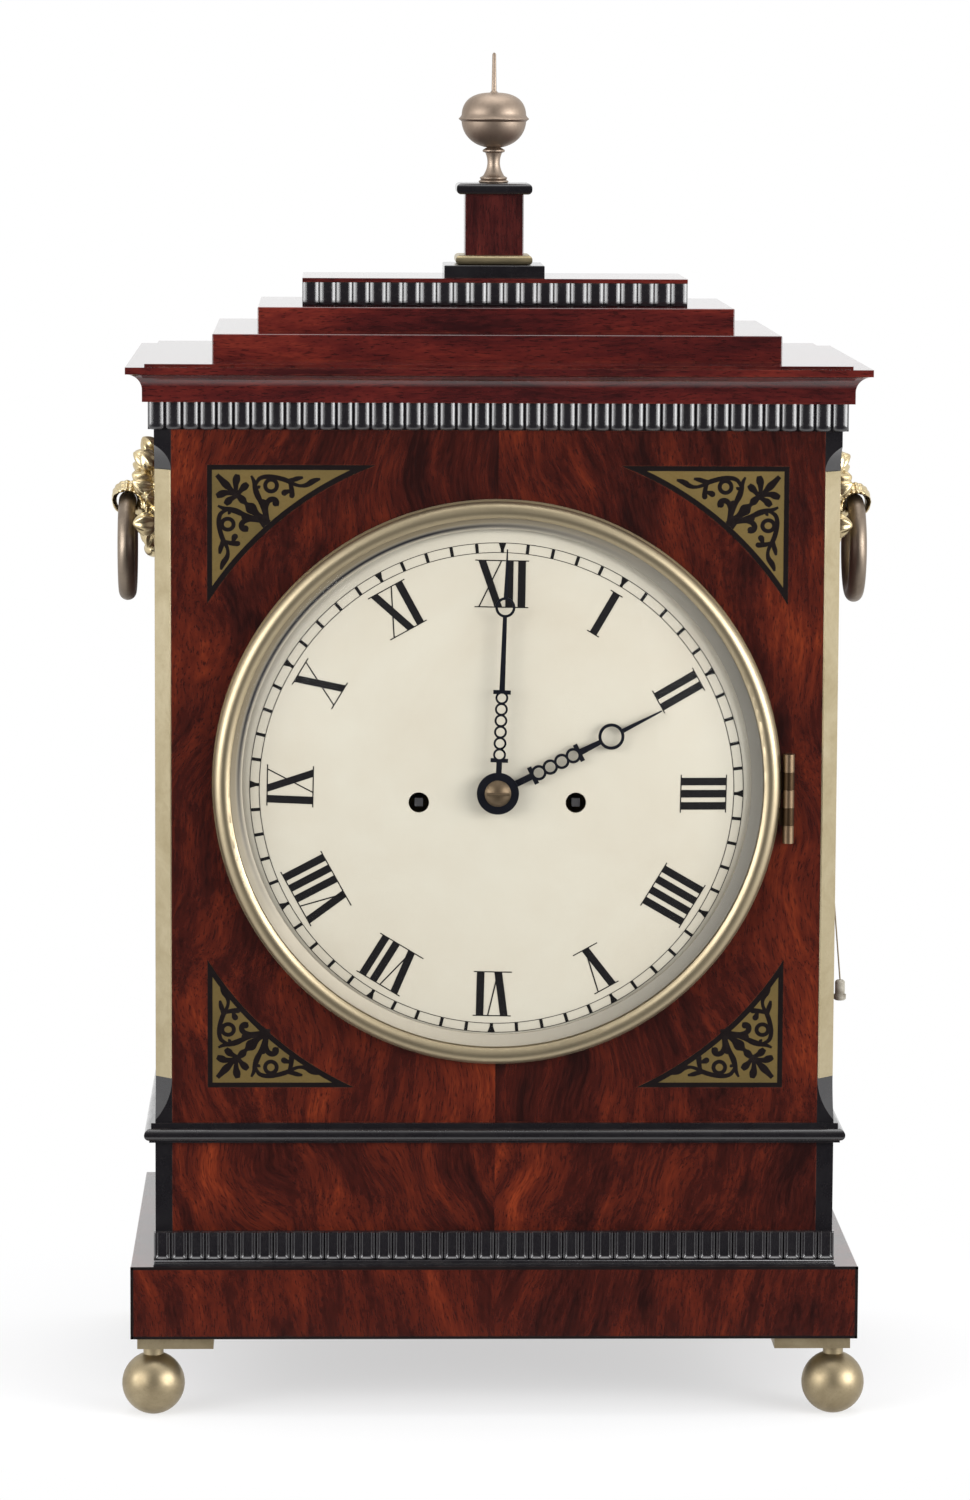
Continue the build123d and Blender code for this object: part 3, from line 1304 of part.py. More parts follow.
def spring_barrel(at):
    """A spring barrel between the plates, with rims that keep the line on it."""
    x, z = at
    with BuildPart() as barrel:
        rod_y(x, z, BARREL_R, y_fusee, y_fusee_end)
        rod_y(x, z, BARREL_RIM_R, y_fusee, y_fusee + BARREL_RIM_T)
        rod_y(x, z, BARREL_RIM_R, y_fusee_end - BARREL_RIM_T, y_fusee_end)
        rod_y(x, z, BARREL_ARBOR_R, y_plate_front, y_plate_back)
    return barrel


save(spring_barrel(going_barrel_at), "going_barrel")
save(spring_barrel(strike_barrel_at), "strike_barrel")

# Wheels of both trains, which the escapement and the strike locking hold still
y_great = y_fusee_end + WHEEL_T
y_near = y_plate_inner + WHEEL_T
y_third_wheel = y_fusee + WHEEL_T
y_lock_wheel = y_fusee + 4 * WHEEL_T
y_warn_wheel = y_fusee + 9 * WHEEL_T
y_fly = y_fusee + 12 * WHEEL_T
y_escape = y_great + WHEEL_T
pinion_lead = (PINION_T - WHEEL_T) / 2


def wheel(at, teeth, module, y0, phase, thickness=WHEEL_T):
    """A toothed wheel or pinion on an arbor."""
    add(toothed_disc(at[0], at[1], teeth, module, y0, y0 + thickness, phase))


def pinion(driver, at, teeth, module, y0):
    """A pinion whose gap meets the tooth of the wheel that drives it, on the line between them."""
    wheel(at, teeth, module, y0 - pinion_lead, bearing(at, driver) + 180 / teeth, PINION_T)


def great_wheel(at, driven):
    """A great wheel that turns on a winding arbor."""
    with BuildPart() as great:
        wheel(at, GREAT_TEETH, great_module, y_great, bearing(at, driven))
        rod_y(at[0], at[1], WINDING_ARBOR_R + RUN_FIT, y_fusee_end, y_plate_back, Mode.SUBTRACT)
    return great.part


def small_arbor(at):
    """A thin arbor with a pivot in each plate."""
    rod_y(at[0], at[1], ARBOR_R, y_plate_inner + SEAM, y_back_plate - SEAM)
    rod_y(at[0], at[1], PIVOT_R, y_plate_front, y_plate_back)


def escape_outline():
    """The escape wheel's rim of pointed teeth."""
    step = 2 * math.pi / ESCAPE_TEETH
    points = []
    for tooth in range(ESCAPE_TEETH):
        for radius, share in ((ESCAPE_ROOT_R, 0.1), (ESCAPE_R, 0.4), (ESCAPE_R, 0.5)):
            turn = (tooth + share) * step
            points.append((radius * math.sin(turn), escape[1] + radius * math.cos(turn)))
    with BuildSketch(facing(y_escape + WHEEL_T)) as outline:
        with BuildLine():
            Polyline(*points, close=True)
        make_face()
    return outline.sketch


with BuildPart() as train_wheels:
    add(great_wheel(going, centre))
    add(great_wheel(strike, pin_wheel))
    rod_y(0, z_dial, CENTRE_ARBOR_R, y_minute, y_plate_back)
    pinion(going, centre, CENTRE_PINION, great_module, y_great)
    wheel(centre, CENTRE_TEETH, CENTRE_MODULE, y_near, bearing(centre, third))
    for point in small_arbors:
        small_arbor(point)
    pinion(centre, third, THIRD_PINION, CENTRE_MODULE, y_near)
    wheel(third, THIRD_TEETH, THIRD_MODULE, y_third_wheel, bearing(third, escape))
    pinion(third, escape, ESCAPE_PINION, THIRD_MODULE, y_third_wheel)
    extrude(escape_outline(), amount=WHEEL_T)
    pinion(strike, pin_wheel, CENTRE_PINION, great_module, y_great)
    wheel(pin_wheel, PIN_TEETH, CENTRE_MODULE, y_near, bearing(pin_wheel, lock_wheel))
    pinion(pin_wheel, lock_wheel, LOCK_PINION, CENTRE_MODULE, y_near)
    wheel(lock_wheel, LOCK_TEETH, THIRD_MODULE, y_lock_wheel, bearing(lock_wheel, warn_wheel))
    pinion(lock_wheel, warn_wheel, WARN_PINION, THIRD_MODULE, y_lock_wheel)
    wheel(warn_wheel, WARN_TEETH, WARN_MODULE, y_warn_wheel, bearing(warn_wheel, fly))
    pinion(warn_wheel, fly, FLY_PINION, WARN_MODULE, y_warn_wheel)
    board(
        fly[0] - FLY_W / 2, fly[0] + FLY_W / 2, y_fly, y_fly + FLY_L,
        fly[1] - ARBOR_R / 2, fly[1] + ARBOR_R / 2,
    )
save(train_wheels, "train_wheels")

# Pallets: an anchor over the escape wheel, its arbor, and the crutch that guides the pendulum
y_pendulum = y_front + PENDULUM_DEPTH
y_cock = y_plate_back + COCK_REACH
y_crutch = y_plate_back + CRUTCH_STAND
z_crutch = pallet[1] - CRUTCH_L
fork_gap = PENDULUM_ROD_R + FORK_FIT
fork_half = fork_gap + FORK_T
z_fork = z_crutch + 2 * FORK_T
pallet_x = (ESCAPE_R + PALLET_CLEAR) / math.sqrt(2)
z_pallet_tip = escape[1] + pallet_x
with BuildPart() as pallets:
    rod_y(pallet[0], pallet[1], ARBOR_R, y_plate_front, y_cock + COCK_T)
    with BuildSketch(facing(y_escape + WHEEL_T)):
        with BuildLine():
            Polyline(
                (-pallet_x - PALLET_NIB, z_pallet_tip + PALLET_NIB / 2), (-pallet_x, z_pallet_tip),
                (0, pallet[1] - 2 * ARBOR_R), (pallet_x, z_pallet_tip),
                (pallet_x + PALLET_NIB, z_pallet_tip + PALLET_NIB / 2), (0, pallet[1] + 2 * ARBOR_R),
                close=True,
            )
        make_face()
    extrude(amount=WHEEL_T)
    board(-ARBOR_R, ARBOR_R, y_crutch, y_crutch + CRUTCH_T, z_crutch, pallet[1])
    board(-fork_half, fork_half, y_crutch, y_crutch + CRUTCH_T, z_crutch, z_fork)
    for sx in (-1, 1):
        inner, outer = sorted((sx * fork_gap, sx * fork_half))
        board(inner, outer, y_crutch, y_pendulum + 2 * FORK_T, z_crutch, z_fork)
save(pallets, "pallets")

# Back cock: a bridge on the back plate that carries the pallet arbor and the pendulum's stud
z_cock = pallet[1] - COCK_DROP
z_cock_top = pallet[1] + COCK_RISE
z_stud = pallet[1] + STUD_RISE
with BuildPart() as back_cock:
    board(-COCK_HALF_W, COCK_HALF_W, y_cock, y_cock + COCK_T, z_cock, z_cock_top)
    for sx in (-1, 1):
        inner, outer = sorted((sx * (COCK_HALF_W - 2 * COCK_T), sx * COCK_HALF_W))
        board(inner, outer, y_plate_back, y_cock, z_cock, z_cock_top)
    rod_y(0, z_stud, STUD_R, y_cock, y_pendulum + 2 * STUD_R)
    rod_y(0, pallet[1], ARBOR_R + RUN_FIT, y_plate_back, y_cock + 2 * COCK_T, Mode.SUBTRACT)
save(back_cock, "back_cock")

# Pendulum: suspension block and spring, rod and rating nut, and a lens-shaped bob
z_swing = pallet[1]
z_bob = z_swing - PENDULUM_L
z_nut = z_bob - BOB_DISC_R - RATING_NUT_H
with BuildPart() as pendulum_rod:
    rod_y(0, z_swing, STUD_R, y_pendulum - STUD_R, y_pendulum + STUD_R)
    rod_z(0, y_pendulum, PENDULUM_ROD_R, z_nut - RATING_NUT_H, z_swing)
    rod_z(0, y_pendulum, RATING_NUT_R, z_nut, z_nut + RATING_NUT_H)
    board(
        -STUD_R, STUD_R, y_pendulum - SUSPENSION_T / 2, y_pendulum + SUSPENSION_T / 2,
        z_swing, z_stud - STUD_R - RUN_FIT,
    )
save(pendulum_rod, "pendulum_rod")

bob_ball = cap_radius(BOB_DISC_R, BOB_DISC_T / 2)
bob_shift = bob_ball - BOB_DISC_T / 2
with BuildPart() as pendulum_bob:
    with Locations((0, y_pendulum + bob_shift, z_bob)):
        Sphere(bob_ball)
    with Locations((0, y_pendulum - bob_shift, z_bob)):
        Sphere(bob_ball, mode=Mode.INTERSECT)
    rod_z(
        0, y_pendulum, PENDULUM_ROD_R + RUN_FIT, z_bob - 2 * BOB_DISC_R, z_bob + 2 * BOB_DISC_R,
        Mode.SUBTRACT,
    )
save(pendulum_bob, "pendulum_bob")

# Bell on a bent stand screwed to the back plate
y_bell = y_front + BELL_DEPTH
z_bell = z_dial + BELL_LIFT
z_bell_top = z_bell + BELL_H
z_shoulder = z_bell_top - BELL_SHOULDER_DROP
with BuildPart() as bell:
    with BuildSketch(facing(y_bell)):
        with BuildLine():
            Line((BELL_R, z_bell), (BELL_R - BELL_T, z_bell))
            Spline(
                (BELL_R - BELL_T, z_bell), (BELL_SHOULDER_R, z_shoulder), (BELL_HOLE_R, z_bell_top - BELL_T),
                tangents=((-0.25, 1), (-1, 0)),
            )
            Line((BELL_HOLE_R, z_bell_top - BELL_T), (BELL_HOLE_R, z_bell_top))
            Spline(
                (BELL_HOLE_R, z_bell_top), (BELL_SHOULDER_R + BELL_T, z_shoulder + BELL_T / 2),
                (BELL_R, z_bell), tangents=((1, 0), (0.25, -1)),
            )
        make_face()
    revolve(axis=Axis((0, y_bell, 0), (0, 0, 1)))
save(bell, "bell")

arm_half = BELL_ARM_W / 2
z_bell_nut = z_bell_top - 2 * BELL_T
with BuildPart() as bell_stand:
    board(
        -arm_half, arm_half, y_plate_back, y_plate_back + BELL_ARM_T,
        z_plate_top - BELL_ARM_W, z_bell_top + BELL_ARM_T,
    )
    board(
        -arm_half, arm_half, y_bell - arm_half, y_plate_back + BELL_ARM_T,
        z_bell_top, z_bell_top + BELL_ARM_T,
    )
    rod_z(0, y_bell, BELL_HOLE_R - SEAM, z_bell_nut - BELL_T, z_bell_top)
    rod_z(0, y_bell, 2 * BELL_HOLE_R, z_bell_nut - BELL_T, z_bell_nut)
save(bell_stand, "bell_stand")

# Hammer on its arbor between the plates
x_head = BELL_R + HAMMER_GAP
z_head = z_bell + HAMMER_HEAD_R
arm_t = HAMMER_ARM_T / 2
with BuildPart() as hammer:
    rod_y(HAMMER_X, hammer_at[1], ARBOR_R, y_plate_front, y_plate_back)
    rod_y(HAMMER_X, hammer_at[1], 2 * ARBOR_R, y_bell - HAMMER_ARM_T, y_bell + HAMMER_ARM_T)
    board(HAMMER_X - arm_t, HAMMER_X + arm_t, y_bell - arm_t, y_bell + arm_t, hammer_at[1], z_head)
    rod_x(y_bell, z_head, HAMMER_HEAD_R, x_head, x_head + HAMMER_HEAD_L + HAMMER_ARM_T)
save(hammer, "hammer")

# Motion work behind the dial: cannon wheel and pipe, minute wheel and pinion, hour wheel and pipe
motion_module = 2 * MOTION_DISTANCE / (CANNON_TEETH + MINUTE_TEETH)
hour_module = 2 * MOTION_DISTANCE / (MINUTE_PINION + HOUR_TEETH)
y_cannon = y_plate_front - 2 * WHEEL_T
y_hour_wheel = y_cannon - 2 * WHEEL_T
minute_phase = bearing(minute_stud, centre) + 180 / MINUTE_TEETH
hour_phase = bearing(centre, minute_stud) + 180 / HOUR_TEETH
with BuildPart() as cannon_wheel:
    wheel(centre, CANNON_TEETH, motion_module, y_cannon, bearing(centre, minute_stud))
    rod_y(0, z_dial, CANNON_PIPE_R, y_minute, y_cannon + WHEEL_T)
    rod_y(0, z_dial, CENTRE_ARBOR_R + RUN_FIT, y_minute - WHEEL_T, y_plate_front, Mode.SUBTRACT)
save(cannon_wheel, "cannon_wheel")

with BuildPart() as minute_wheel:
    wheel(minute_stud, MINUTE_TEETH, motion_module, y_cannon, minute_phase)
    wheel(
        minute_stud, MINUTE_PINION, hour_module, y_hour_wheel - pinion_lead,
        bearing(minute_stud, centre), y_cannon - y_hour_wheel + pinion_lead,
    )
    rod_y(
        minute_stud[0], minute_stud[1], CENTRE_ARBOR_R + RUN_FIT, y_front, y_plate_front, Mode.SUBTRACT,
    )
save(minute_wheel, "minute_wheel")

y_hour = y_dial - HOUR_HAND_LIFT - HAND_T
with BuildPart() as hour_wheel:
    wheel(centre, HOUR_TEETH, hour_module, y_hour_wheel, hour_phase)
    rod_y(0, z_dial, HOUR_PIPE_R, y_hour, y_hour_wheel + WHEEL_T)
    rod_y(0, z_dial, CANNON_PIPE_R + RUN_FIT, y_hour - WHEEL_T, y_plate_front, Mode.SUBTRACT)
save(hour_wheel, "hour_wheel")
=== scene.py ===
"""Dresses the bracket clock: finishes, dial print, inlay, carving, cord, silk and studio."""

from __future__ import annotations

import json
import logging
import math
from contextlib import contextmanager
from dataclasses import dataclass
from enum import Enum
from functools import cache
from typing import Callable, Iterator, Optional, Sequence

import bpy
from mathutils import Matrix, Vector

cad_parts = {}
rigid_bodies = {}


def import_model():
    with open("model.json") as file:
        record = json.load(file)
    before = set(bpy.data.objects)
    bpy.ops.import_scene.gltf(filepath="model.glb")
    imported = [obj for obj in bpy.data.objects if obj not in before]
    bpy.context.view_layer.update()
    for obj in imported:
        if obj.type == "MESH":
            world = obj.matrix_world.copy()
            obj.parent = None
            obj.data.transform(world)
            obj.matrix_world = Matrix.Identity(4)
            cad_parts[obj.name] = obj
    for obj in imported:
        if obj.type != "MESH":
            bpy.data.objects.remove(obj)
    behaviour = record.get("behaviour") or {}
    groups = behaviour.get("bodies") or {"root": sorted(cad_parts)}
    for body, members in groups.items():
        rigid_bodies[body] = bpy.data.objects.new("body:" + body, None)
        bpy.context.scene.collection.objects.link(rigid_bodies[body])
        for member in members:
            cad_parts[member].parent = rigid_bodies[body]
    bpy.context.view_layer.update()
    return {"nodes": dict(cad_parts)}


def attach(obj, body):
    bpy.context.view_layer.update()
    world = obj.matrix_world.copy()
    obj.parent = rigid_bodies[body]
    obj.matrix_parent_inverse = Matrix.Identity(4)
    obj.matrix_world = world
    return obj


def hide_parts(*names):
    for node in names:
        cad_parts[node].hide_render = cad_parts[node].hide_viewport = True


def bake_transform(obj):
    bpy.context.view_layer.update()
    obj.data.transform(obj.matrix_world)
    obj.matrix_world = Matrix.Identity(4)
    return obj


Place = tuple[float, float, float]
Point = tuple[float, float]
Colour = tuple[float, float, float]
Thing = bpy.types.Object
Node = bpy.types.Node
Socket = bpy.types.NodeSocket

LOG = logging.getLogger("clock")
MM = 0.001
PANEL_Y = -81.25 * MM
MIDDLE_Y = 6.75 * MM
BEZEL_Z = 251.0 * MM
ROUND_STEPS = 240
MINUTES, HOURS = 60, 12
MIRROR = Matrix.Diagonal((-1, 1, 1, 1))


class Body(Enum):
    """The bodies that a new piece can ride on."""

    CASE = "case"
    BEZEL = "bezel"
    REPEAT_PULL = "repeat_pull"


class Slot(Enum):
    """The record's material slots."""

    MAHOGANY = "mahogany"
    EBONISED = "ebonised"
    OAK = "oak"
    BRASS = "brass"
    BRONZE = "bronze"
    STEEL = "steel"
    DIAL_PAINT = "dial_paint"
    CLEAR_GLASS = "clear_glass"
    CORD = "cord"
    BONE = "bone"


class Grain(Enum):
    """Which way the grain of a board runs, as its turn about Y from upright."""

    UPRIGHT = 0.0
    ACROSS = math.pi / 2


def linear(red: int, green: int, blue: int) -> Colour:
    """Turns a colour seen on screen into the light it stands for.

    Args:
        red: Red from 0 to 255.
        green: Green from 0 to 255.
        blue: Blue from 0 to 255.

    Returns:
        The colour as linear light.
    """
    def channel(level: int) -> float:
        """One channel as linear light."""
        share = level / 255
        return share / 12.92 if share <= 0.04045 else ((share + 0.055) / 1.055) ** 2.4

    return channel(red), channel(green), channel(blue)


def circle(radius: float, y: float = 0.0, z: float = 0.0) -> list[Place]:
    """Points from the top of a circle about an axis along Y, at a depth and a height."""
    turns = [2 * math.pi * step / ROUND_STEPS for step in range(ROUND_STEPS)]
    return [(radius * math.sin(turn), y, z + radius * math.cos(turn)) for turn in turns]


class Tree:
    """A node tree that is filled node by node."""

    def __init__(self, tree: bpy.types.NodeTree) -> None:
        """Empties the tree.

        Args:
            tree: The node tree to fill.
        """
        self.tree = tree
        tree.nodes.clear()

    def feed(self, node: Node, items: dict) -> None:
        """Links or sets a node's inputs.

        Args:
            node: The node.
            items: Input names or numbers, each with a socket, a number, a colour or a vector.
        """
        for key, item in items.items():
            socket = node.inputs[key]
            if isinstance(item, Socket):
                self.tree.links.new(item, socket)
            elif socket.type == "RGBA":
                socket.default_value = (*item, 1.0)
            else:
                socket.default_value = item

    def add(self, kind: str, items: Optional[dict] = None, **settings: object) -> Node:
        """Adds a node.

        Args:
            kind: The node's type, without ShaderNode before it.
            items: What its inputs are fed with.
            settings: Attributes of the node itself.

        Returns:
            The node.
        """
        node = self.tree.nodes.new(kind if kind.startswith("NodeGroup") else "ShaderNode" + kind)
        for key, value in settings.items():
            setattr(node, key, value)
        self.feed(node, items or {})
        return node

    def math(self, operation: str, first: object, second: object = 0.0, clamp: bool = False) -> Socket:
        """Adds a Math node for sockets or numbers, its result between nought and one if clamped."""
        return self.add("Math", {0: first, 1: second}, operation=operation, use_clamp=clamp).outputs[0]

    def times(self, first: object, second: object) -> Socket:
        """Multiplies two sockets or numbers."""
        return self.math("MULTIPLY", first, second)

    def vector(self, operation: str, items: dict) -> Socket:
        """Adds a Vector Math node and gives its vector."""
        return self.add("VectorMath", items, operation=operation).outputs[0]

    def mix(self, share: object, first: object, second: object) -> Socket:
        """Mixes two colours or sockets by the share of the second."""
        return self.add("Mix", {0: share, 6: first, 7: second}, data_type="RGBA").outputs[2]

    def ramp(self, socket: Socket, stops: Sequence[tuple[float, Colour]]) -> Socket:
        """Adds a colour ramp.

        Args:
            socket: The value that runs along it.
            stops: Places and colours.

        Returns:
            The colour.
        """
        node = self.add("ValToRGB", {0: socket})
        marks = node.color_ramp.elements
        while len(marks) < len(stops):
            marks.new(0.5)
        for mark, (place, colour) in zip(marks, stops):
            mark.position = place
            mark.color = (*colour, 1.0)
        return node.outputs[0]

    def span(self, socket: Socket, low: float, high: float, start: float = 0.0, end: float = 1.0) -> Socket:
        """Maps a value from low and high to start and end, and keeps it there."""
        return self.add("MapRange", {0: socket, 1: low, 2: high, 3: start, 4: end}).outputs[0]

    def noise(self, vector: Socket, scale: object, detail: float, **more: float) -> Node:
        """Adds a noise texture that is read at a vector."""
        return self.add("TexNoise", {"Vector": vector, "Scale": scale, "Detail": detail, **more})


class Effects:
    """Effects that several finishes share, each one node group."""

    @staticmethod
    def group(name: str, takes: dict[str, str], gives: Sequence[str]) -> tuple[Tree, Node, Node]:
        """Starts a node group.

        Args:
            name: Its name.
            takes: Input names and socket kinds.
            gives: Names of the values that it gives.

        Returns:
            The tree to fill, its input node and its output node.
        """
        group = bpy.data.node_groups.new(name, "ShaderNodeTree")
        for socket, kind in takes.items():
            group.interface.new_socket(socket, in_out="INPUT", socket_type="NodeSocket" + kind)
        for socket in gives:
            group.interface.new_socket(socket, in_out="OUTPUT", socket_type="NodeSocketFloat")
        tree = Tree(group)
        return tree, tree.add("NodeGroupInput"), tree.add("NodeGroupOutput")

    @staticmethod
    @cache
    def flame_grain() -> bpy.types.NodeTree:
        """Flame figure, stripe and pores of a veneer whose grain runs along Z.

        Returns:
            The group.
        """
        tree, given, result = Effects.group(
            "flame_grain", {"Vector": "Vector", "Scale": "Float", "Swirl": "Float"},
            ("Figure", "Stripe", "Pores"))
        place = given.outputs["Vector"]
        coarse = tree.noise(place, given.outputs["Scale"], detail=2.0).outputs["Color"]
        shift = tree.vector("SUBTRACT", {0: coarse, 1: (0.5, 0.5, 0.5)})
        push = tree.vector("SCALE", {0: shift, "Scale": given.outputs["Swirl"]})
        bent = tree.vector("ADD", {0: place, 1: push})

        def streaks(along: float, scale: float, detail: float) -> Socket:
            """Noise drawn out along the grain."""
            drawn = tree.vector("MULTIPLY", {0: bent, 1: (1.0, 1.0, along)})
            return tree.noise(drawn, scale, detail, Roughness=0.6).outputs[0]

        clouds = streaks(along=0.45, scale=22.0, detail=3.0)
        flames = streaks(along=0.14, scale=105.0, detail=2.5)
        stripe = streaks(along=0.16, scale=700.0, detail=2.0)
        pores = streaks(along=0.15, scale=1900.0, detail=1.0)
        flame_share = 0.45
        figure = tree.math("ADD", tree.times(clouds, 1 - flame_share), tree.times(flames, flame_share))
        tree.feed(result, {"Figure": figure, "Stripe": stripe,
                           "Pores": tree.span(pores, low=0.55, high=0.68)})
        return tree.tree

    @staticmethod
    @cache
    def edge_wear() -> bpy.types.NodeTree:
        """Marks corners that hands and cloths have rubbed.

        Returns:
            The group.
        """
        tree, given, result = Effects.group("edge_wear", {"Vector": "Vector", "Width": "Float"}, ("Wear",))
        rounded = tree.add("Bevel", {"Radius": given.outputs["Width"]}, samples=4)
        plain = tree.add("NewGeometry")
        match = tree.add("VectorMath", {0: rounded.outputs[0], 1: plain.outputs["Normal"]},
                         operation="DOT_PRODUCT")
        corner = tree.span(match.outputs["Value"], low=0.97, high=0.80)
        patch = tree.noise(given.outputs["Vector"], scale=160.0, detail=4.0).outputs[0]
        tree.feed(result, {"Wear": tree.times(corner, tree.span(patch, low=0.38, high=0.62))})
        return tree.tree

    @staticmethod
    @cache
    def patina() -> bpy.types.NodeTree:
        """Cloudy patina, specks and fine rubbing marks.

        Returns:
            The group.
        """
        tree, given, result = Effects.group("patina", {"Vector": "Vector", "Scale": "Float"},
                                            ("Cloud", "Specks", "Height"))
        place = given.outputs["Vector"]
        cloud = tree.noise(place, given.outputs["Scale"], detail=6.0, Roughness=0.65,
                           Distortion=0.4).outputs[0]
        specks = tree.noise(place, scale=900.0, detail=3.0, Roughness=0.7).outputs[0]
        tree.feed(result, {"Cloud": tree.span(cloud, low=0.35, high=0.68),
                           "Specks": tree.span(specks, low=0.55, high=0.75), "Height": specks})
        return tree.tree


@dataclass(frozen=True)
class Finish:
    """A finish that is made into a material the first time it is used."""

    name: str
    slot: Slot

    def material(self) -> bpy.types.Material:
        """The finish as a material.

        Returns:
            The material, made once.
        """
        made = bpy.data.materials.get("finish_" + self.name)
        if made is None:
            made = bpy.data.materials.new("finish_" + self.name)
            made.use_nodes = True
            tree = Tree(made.node_tree)
            shader = tree.add("BsdfPrincipled")
            tree.add("OutputMaterial", {0: shader.outputs[0]})
            self.fill(tree, shader, tree.add("TexCoord").outputs["Object"])
        return made

    def fill(self, tree: Tree, shader: Node, spot: Socket) -> None:
        """Adds the finish's own nodes between object coordinates and its Principled BSDF."""
        raise NotImplementedError

    @staticmethod
    def patina(tree: Tree, spot: Socket, scale: float) -> Node:
        """Adds the patina group at a scale."""
        return tree.add("Group", {"Vector": spot, "Scale": scale}, node_tree=Effects.patina())

    @staticmethod
    def worn(tree: Tree, spot: Socket, width: float, share: float) -> Socket:
        """Masks the corners that are rubbed, by how far from them in metres and how much."""
        group = tree.add("Group", {"Vector": spot, "Width": width}, node_tree=Effects.edge_wear())
        return tree.times(group.outputs[0], share)

    @staticmethod
    def bump(tree: Tree, height: Socket, depth: float, strength: float) -> Socket:
        """Turns a height, as deep as given in metres, into a normal."""
        return tree.add("Bump", {"Height": height, "Distance": depth, "Strength": strength}).outputs[0]


@dataclass(frozen=True)
class Veneer(Finish):
    """Polished flame mahogany."""

    grain: Grain = Grain.UPRIGHT
    lean: float = 0.0
    scale: float = 9.0
    swirl: float = 0.07
    matched: bool = False
    dark: Colour = linear(32, 10, 8)
    middle: Colour = linear(57, 18, 12)
    light: Colour = linear(82, 28, 15)
    flash: Colour = linear(114, 44, 20)
    rubbed: Colour = linear(112, 52, 36)
    pore: Colour = linear(24, 8, 8)
    stops: tuple[float, ...] = (0.40, 0.49, 0.57, 0.66)
    leaf_shift: float = 0.23
    stripe_share: float = 0.2
    pore_share: float = 0.6
    pore_depth: float = 0.04 * MM

    def fill(self, tree: Tree, shader: Node, spot: Socket) -> None:
        """Adds figure, pores, rubbed corners and polish.

        Args:
            tree: The material's tree.
            shader: Its Principled BSDF.
            spot: Object coordinates.
        """
        vector = spot
        if self.matched:
            parts = tree.add("SeparateXYZ", {0: spot}).outputs
            leaf = tree.times(tree.math("GREATER_THAN", parts[0], 0.0), self.leaf_shift)
            vector = tree.add("CombineXYZ", {0: tree.math("ABSOLUTE", parts[0]), 1: parts[1],
                                             2: tree.math("ADD", parts[2], leaf)}).outputs[0]
        tilt = (0.0, self.grain.value + math.radians(self.lean), 0.0)
        turned = tree.add("Mapping", {"Vector": vector, "Rotation": tilt}).outputs[0]
        figure = tree.add("Group", {"Vector": turned, "Scale": self.scale, "Swirl": self.swirl},
                          node_tree=Effects.flame_grain()).outputs
        both = tree.math("ADD", tree.times(figure["Figure"], 1 - self.stripe_share),
                         tree.times(figure["Stripe"], self.stripe_share))
        wood = tree.ramp(both, tuple(zip(self.stops, (self.dark, self.middle, self.light, self.flash))))
        wood = tree.mix(tree.times(figure["Pores"], self.pore_share), wood, self.pore)
        wood = tree.mix(self.worn(tree, spot, width=0.9 * MM, share=0.55), wood, self.rubbed)
        tree.feed(shader, {
            "Base Color": wood, "Roughness": tree.span(figure["Stripe"], 0.3, 0.7, start=0.30, end=0.42),
            "Coat Weight": 1.0, "Coat Roughness": 0.06, "Coat IOR": 1.65, "Specular IOR Level": 0.05,
            "Normal": self.bump(tree, figure["Pores"], -self.pore_depth, strength=0.6)})


@dataclass(frozen=True)
class Black(Finish):
    """Ebonised wood or black inlay."""

    base: Colour = linear(18, 16, 19)
    scuffed: Colour = linear(70, 62, 58)
    shine: float = 0.22
    coat: float = 0.5
    gloss: float = 0.25
    spread: float = 0.14
    speck_share: float = 0.12

    def fill(self, tree: Tree, shader: Node, spot: Socket) -> None:
        """Adds a faint grain, dull patches and scuffed corners.

        Args:
            tree: The material's tree.
            shader: Its Principled BSDF.
            spot: Object coordinates.
        """
        marks = self.patina(tree, spot, scale=60.0).outputs
        tone = tree.mix(tree.times(marks["Specks"], self.speck_share), self.base, self.scuffed)
        tone = tree.mix(self.worn(tree, spot, width=0.6 * MM, share=0.35), tone, self.scuffed)
        tree.feed(shader, {
            "Base Color": tone, "Coat Weight": self.coat, "Coat Roughness": 0.12,
            "Roughness": tree.span(marks["Cloud"], 0.0, 1.0, self.shine, self.shine + self.spread),
            "Specular IOR Level": self.gloss,
            "Normal": self.bump(tree, marks["Height"], depth=0.03 * MM, strength=0.5)})


@dataclass(frozen=True)
class Metal(Finish):
    """Brass, bronze or steel with its patina."""

    base: Colour = linear(196, 182, 140)
    stained: Colour = linear(140, 122, 80)
    dull: float = 0.30
    spread: float = 0.16
    cloud: float = 45.0
    cover: float = 0.6
    metallic: float = 1.0
    rubbed: float = 0.4
    relief: float = 0.02 * MM
    speck_share: float = 0.3
    brighter: float = 1.25

    def fill(self, tree: Tree, shader: Node, spot: Socket) -> None:
        """Adds patina, specks and rubbed corners.

        Args:
            tree: The material's tree.
            shader: Its Principled BSDF.
            spot: Object coordinates.
        """
        marks = self.patina(tree, spot, scale=self.cloud).outputs
        tone = tree.mix(tree.times(marks["Cloud"], self.cover), self.base, self.stained)
        tone = tree.mix(tree.times(marks["Specks"], self.speck_share), tone, self.stained)
        bright = tuple(min(1.0, self.brighter * level) for level in self.base)
        tone = tree.mix(self.worn(tree, spot, width=0.4 * MM, share=self.rubbed), tone, bright)
        tree.feed(shader, {
            "Base Color": tone, "Metallic": self.metallic,
            "Roughness": tree.span(marks["Cloud"], 0.0, 1.0, self.dull, self.dull + self.spread),
            "Normal": self.bump(tree, marks["Height"], self.relief, strength=0.5)})


